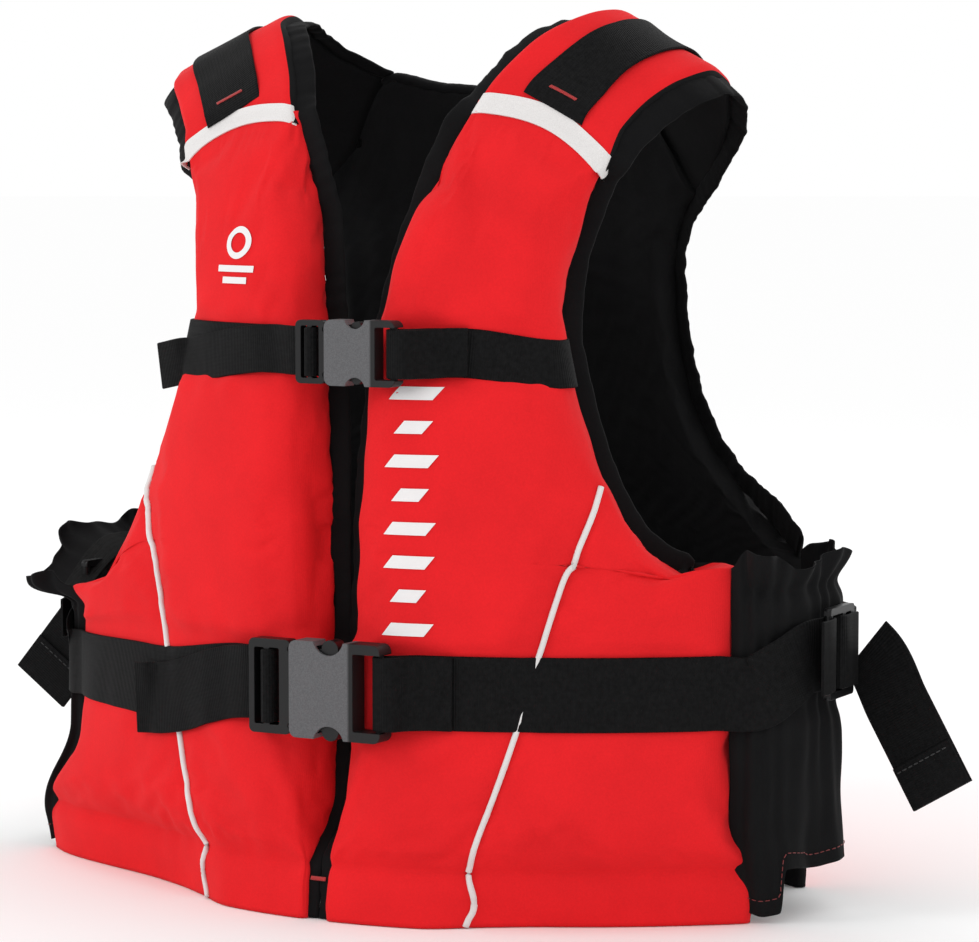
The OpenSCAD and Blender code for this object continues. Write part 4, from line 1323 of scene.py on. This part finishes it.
def blend(strap, node):
    """Webbing that stands for a node, with its place baked into its points."""
    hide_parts(node)
    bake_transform(strap)


def chest_belt(panels):
    """Two lengths of narrow webbing, sewn in at the arm edges."""
    bar = CHEST["socket_bar"]
    far = bar[0] + 30
    line, up = belt_line(panels["left"], CHEST_Z, 10, bar[0] + 14, 140, 1.15, wall=13)
    line[:, 2] -= 6 * step(line[:, 0], 70, 116)
    end = belt_line(panels["left"], CHEST_Z, 10, far - 8, far, 3.4)
    inner_y = bar[1] - TURN_R
    near = [[bar[0] + 6, inner_y, CHEST_Z], [bar[0] + 14, (inner_y + end[0][0][1]) / 2, CHEST_Z]]
    parts = [backward(line, up), upright(turn(bar, 90, 270, CHEST_Z)), upright(near), end]
    left = strap_along("left_chest_strap", parts, CHEST_WEB, 1)
    dress(left, "vest", "black_webbing", "left_chest_webbing")

    line = belt_line(panels["right"], CHEST_Z, 10, 26, 140, 1.15, wall=13)
    top, top_up = belt_line(panels["right"], CHEST_Z, 10, 30, 108, 3.1)
    top[:, 2] -= 11 * step(top[:, 0], 34, 124)
    edge = top[-1]
    loose = [edge + np.array(d) for d in ([6, 1.0, -1.0], [12, 2.6, -2.2], [19, 5.0, -3.6])]
    loose_up = [unit([-0.02, 0, 1])] * 3
    parts = [backward(*line), upright(plug_turn(CHEST)), (top, top_up), (loose, loose_up)]
    right = strap_along("right_chest_strap", parts, CHEST_WEB, -1)
    blend(right, "right_chest_webbing")


ADJUSTER_TURN = math.radians(92)
ADJUSTER_Z = 137
SIDE_LIFT = WEB_T / 2 - 0.35
AXIS = gusset_point(-10, ADJUSTER_Z, SIDE_LIFT + 3)


def in_adjuster(u, n):
    """A point in an adjuster: u along it to the back, n off the side."""
    c, s = math.cos(ADJUSTER_TURN), math.sin(ADJUSTER_TURN)
    return [float(AXIS[0]) + u * c + n * s, float(AXIS[1]) + u * s - n * c, ADJUSTER_Z]


def side_route(start_z):
    """The waist belt up over the gathered side and round its adjuster's front bar."""
    k = np.linspace(0, 1, 4)
    path = gusset_point(-66 + 38 * k, start_z + (ADJUSTER_Z - 1 - start_z) * k, SIDE_LIFT).tolist()
    for a in np.linspace(-90, 90, 7):
        path.append(in_adjuster(TURN_R * math.cos(math.radians(a)), TURN_R * math.sin(math.radians(a))))
    return path + [in_adjuster(-8, 4.6), in_adjuster(-18, 4.0)]


RIGHT_SAG = 9  # how far the right half of the waist belt hangs below its buckle


def waist_belt(panels):
    """Two lengths of wide webbing, each from its buckle round the side to an adjuster."""
    bar = WAIST["socket_bar"]
    line = belt_line(panels["left"], WAIST_Z, 15, bar[0] + 14, 193, 1.2)
    end = belt_line(panels["left"], WAIST_Z, 15, bar[0] + 24, bar[0] + 34, 3.4)
    inner_y = bar[1] - TURN_R
    near = [[bar[0] + 12, (inner_y + end[0][0][1]) / 2, WAIST_Z], [bar[0] + 6, inner_y, WAIST_Z]]
    route = upright(side_route(WAIST_Z + 1))
    parts = [backward(*end), upright(near), upright(turn(bar, 270, 90, WAIST_Z)), line, route]
    left = strap_along("left_waist_strap", parts, WAIST_WEB, 1, cells=10)
    dress(left, "vest", "black_webbing", "left_waist_webbing")

    line = belt_line(panels["right"], WAIST_Z, 15, 54, 193, 1.2, sag=RIGHT_SAG)
    top, top_up = belt_line(panels["right"], WAIST_Z, 15, 60, 118, 3.2, sag=RIGHT_SAG + 9)
    route = upright(side_route(WAIST_Z + 1 - RIGHT_SAG))
    edge = top[-1]
    loose = [edge + np.array(d) for d in ([5, 0.5, -0.4], [12, 1.6, -0.9])]
    loose_up = [unit([-0.08, 0, 1]), unit([-0.2, 0, 1])]
    round_plug = backward(*upright(plug_turn(WAIST)))
    parts = [backward(loose, loose_up), backward(top, top_up), round_plug, line, route]
    right = strap_along("right_waist_strap", parts, WAIST_WEB, -1, cells=10)
    blend(right, "right_waist_webbing")


def anchors():
    """Webbing from each back seam, round the middle bar of its adjuster."""
    def back_at(x, out):
        y = MID_Y + float(lookup(ADJUSTER_Z, BACK_MID)) - BACK_CURL * x * x
        return [x, y + out, ADJUSTER_Z]

    path = [back_at(150, 1.5), back_at(172, 1.6), back_at(190, 2.4)]
    steps = [
        (44, -3.6), (30, -3.4), (14, -3.2), (11.6, -2.4), (11.0, 0), (11.6, 2.4), (14, 3.2), (24, 3.3),
        (31, 3.4),
    ]
    path += [in_adjuster(u, n) for u, n in steps]
    for name, side in SIDES:
        strap = ribbon(f"{name}_anchor_strap", path, WAIST_WEB, WEB_T, [0, 0, 1], black_webbing, side)
        blend(strap, f"{name}_anchor_webbing")


def tail(name, side, lean, drop):
    """The belt's free end past the adjuster, with its end folded back and sewn.

    lean is how far it points to the back for each step outward, and drop how far down."""
    start = np.array(in_adjuster(34.5, 6.5))
    way = unit([1, lean, -drop])
    wide = unit(np.array([0, 0, 1]) - way[2] * way)
    level = unit([1, lean, -drop / 2])
    knee = start + level * 6
    out = unit(np.cross(way, wide))
    stop = TAIL_REACH - abs(wide[0]) * WAIST_WEB / 2 - abs(out[0]) * WEB_T / 2
    far = knee + way * (stop - knee[0]) / way[0]
    path = [start, knee, knee + (far - knee) * 0.35, knee + (far - knee) * 0.7, far]
    ways = [[0, 0, 1], unit(np.array([0, 0, 1]) + wide), wide, wide, wide]
    strap = ribbon(f"{name}_tail_strap", path, WAIST_WEB, WEB_T, ways, black_webbing, side,
                   cells=10, wave=0.5, seed=7)
    dress(strap, f"{name}_tail", "black_webbing", f"{name}_tail")
    facing = out if out[1] < 0 else -out
    fold = [far - way * 24 + facing * 1.55, far - way * 12 + facing * 1.6, far - way * 0.2 + facing * 1.5]
    folded = ribbon(f"{name}_tail_fold", fold, WAIST_WEB - 0.6, WEB_T, wide, black_webbing, side, cells=10)
    dress(folded, f"{name}_tail", "black_webbing")
    middle = far - way * 21 + facing * 2.35
    row = stitches(f"{name}_tail_stitches", *stitch_row([middle - wide * 17, middle, middle + wide * 17]),
                   black_thread, side, radius=0.35)
    dress(row, f"{name}_tail", "black_webbing")


# --- plain printed marks ------------------------------------------------------------------------

def printed(name, outlines, tree, side):
    """Flat printed shapes on a front panel, from outlines in X and Z, as thin ink."""
    points, faces = [], []
    for rows in outlines:
        start = front_point(rows[..., 0], rows[..., 1], 0)
        laid = laid_on(tree, start, front_inward(start[..., 0], start[..., 2]), 0.5)
        base = len(points)
        points.extend(laid.reshape(-1, 3).tolist())
        faces.extend(tuple(base + i for i in f) for f in grid_faces(*laid.shape[:2]))
    dress(add_mesh(name, points, faces, print_ink, side), "vest", "white_piping")


def bar_outline(cx, cz, width, height, lean):
    """A leaning bar as a grid of points in X and Z."""
    a, b = np.meshgrid(np.linspace(-0.5, 0.5, 8), np.linspace(-0.5, 0.5, 4))
    return np.stack([cx + a * width + b * lean, cz + b * height], -1)


def ring_outline(cx, cz, outer, inner):
    """A ring as a grid of points in X and Z."""
    a, r = np.meshgrid(np.linspace(0, 2 * math.pi, 49), np.linspace(inner, outer, 4))
    return np.stack([cx + r * np.cos(a), cz + r * np.sin(a)], -1)


def marks(panels):
    """Plain shapes: a ring over two bars on one panel, a column of bars on the other."""
    emblem = [
        ring_outline(63, 345, 8.5, 5.2),
        bar_outline(63, 331.5, 26, 3.4, 0),
        bar_outline(63, 325.5, 18, 3.4, 0),
    ]
    printed("right_printed_mark", emblem, panels["right"]["tree"], -1)
    widths = (22, 14, 22, 22, 14, 22, 14, 22)
    column_of_bars = [bar_outline(50, 152 + 17 * k, w, 6.5, 5) for k, w in enumerate(widths)]
    printed("left_printed_bars", column_of_bars, panels["left"]["tree"], 1)


# --- what stays from the frame ---------------------------------------------------------------

def finish_plastic():
    """Moulded finishes on the buckles and adjusters."""
    finishes = {"socket": socket_plastic}
    finishes.update(dict.fromkeys(("plug", "prong", "adjuster"), plug_plastic))
    for name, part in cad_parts.items():
        for word, plastic in finishes.items():
            if word in name:
                part.data.materials.clear()
                part.data.materials.append(plastic)


# --- floor, light and camera -------------------------------------------------------------------

def studio():
    """A pale floor under a pale sky, with three large soft lights."""
    bpy.ops.mesh.primitive_plane_add(size=60, location=(0, 0, -0.0005))
    floor = bpy.context.object
    floor.name = "floor"
    paint = Paint("floor", (0.985, 0.985, 0.985), 0.95, specular=0.0)
    floor.data.materials.append(paint.material)
    world = bpy.data.worlds.new("studio")
    world.use_nodes = True
    sky = world.node_tree.nodes["Background"]
    sky.inputs["Color"].default_value = (1, 1, 1, 1)
    sky.inputs["Strength"].default_value = 1.0
    scene.world = world

    def lamp(name, place, target, size, power):
        light = bpy.data.lights.new(name, "AREA")
        light.shape = "DISK"
        light.size = size
        light.energy = power
        obj = bpy.data.objects.new(name, light)
        obj.location = place
        obj.rotation_euler = (Vector(target) - Vector(place)).to_track_quat("-Z", "Y").to_euler()
        scene.collection.objects.link(obj)

    lamp("key", (-1.5, -1.9, 1.5), (0, 0, 0.22), 0.9, 11)
    lamp("fill", (1.9, -1.2, 0.9), (0, 0, 0.22), 1.4, 1.5)
    lamp("rim", (0.6, 1.8, 1.6), (0, 0, 0.3), 1.2, 5)


def camera():
    """A long lens 29 degrees round to the vest's left and 5 degrees above it."""
    scene.view_settings.view_transform = "Standard"
    data = bpy.data.cameras.new("camera")
    data.lens = 136
    data.sensor_width = 36
    data.clip_end = 30
    obj = bpy.data.objects.new("camera", data)
    middle = Vector((0.0187, 0.0201, 0.220))
    azimuth, elevation, distance = math.radians(29), math.radians(5), 2.0
    away = Vector((
        math.sin(azimuth) * math.cos(elevation),
        -math.cos(azimuth) * math.cos(elevation),
        math.sin(elevation),
    ))
    obj.location = middle + away * distance
    obj.rotation_euler = (-away).to_track_quat("-Z", "Y").to_euler()
    scene.collection.objects.link(obj)
    scene.camera = obj


camera()
studio()
panels = {}
for side_name, side in SIDES:
    panels[side_name] = front_panel(side_name, side)
    piping(side_name, side, panels[side_name]["tree"])
    bindings(side_name, side)
    shoulder = yoke(side_name, side)
    shoulder_strap(side_name, side, tree_of(shoulder))
    tape(side_name, side, tree_of(panels[side_name]["grid"], shoulder))
    gusset(side_name, side)
centre_tack()
back_panel()
chest_belt(panels)
waist_belt(panels)
anchors()
tail("left", 1, -0.08, 1.7)
tail("right", -1, -0.15, 1.25)
marks(panels)
finish_plastic()
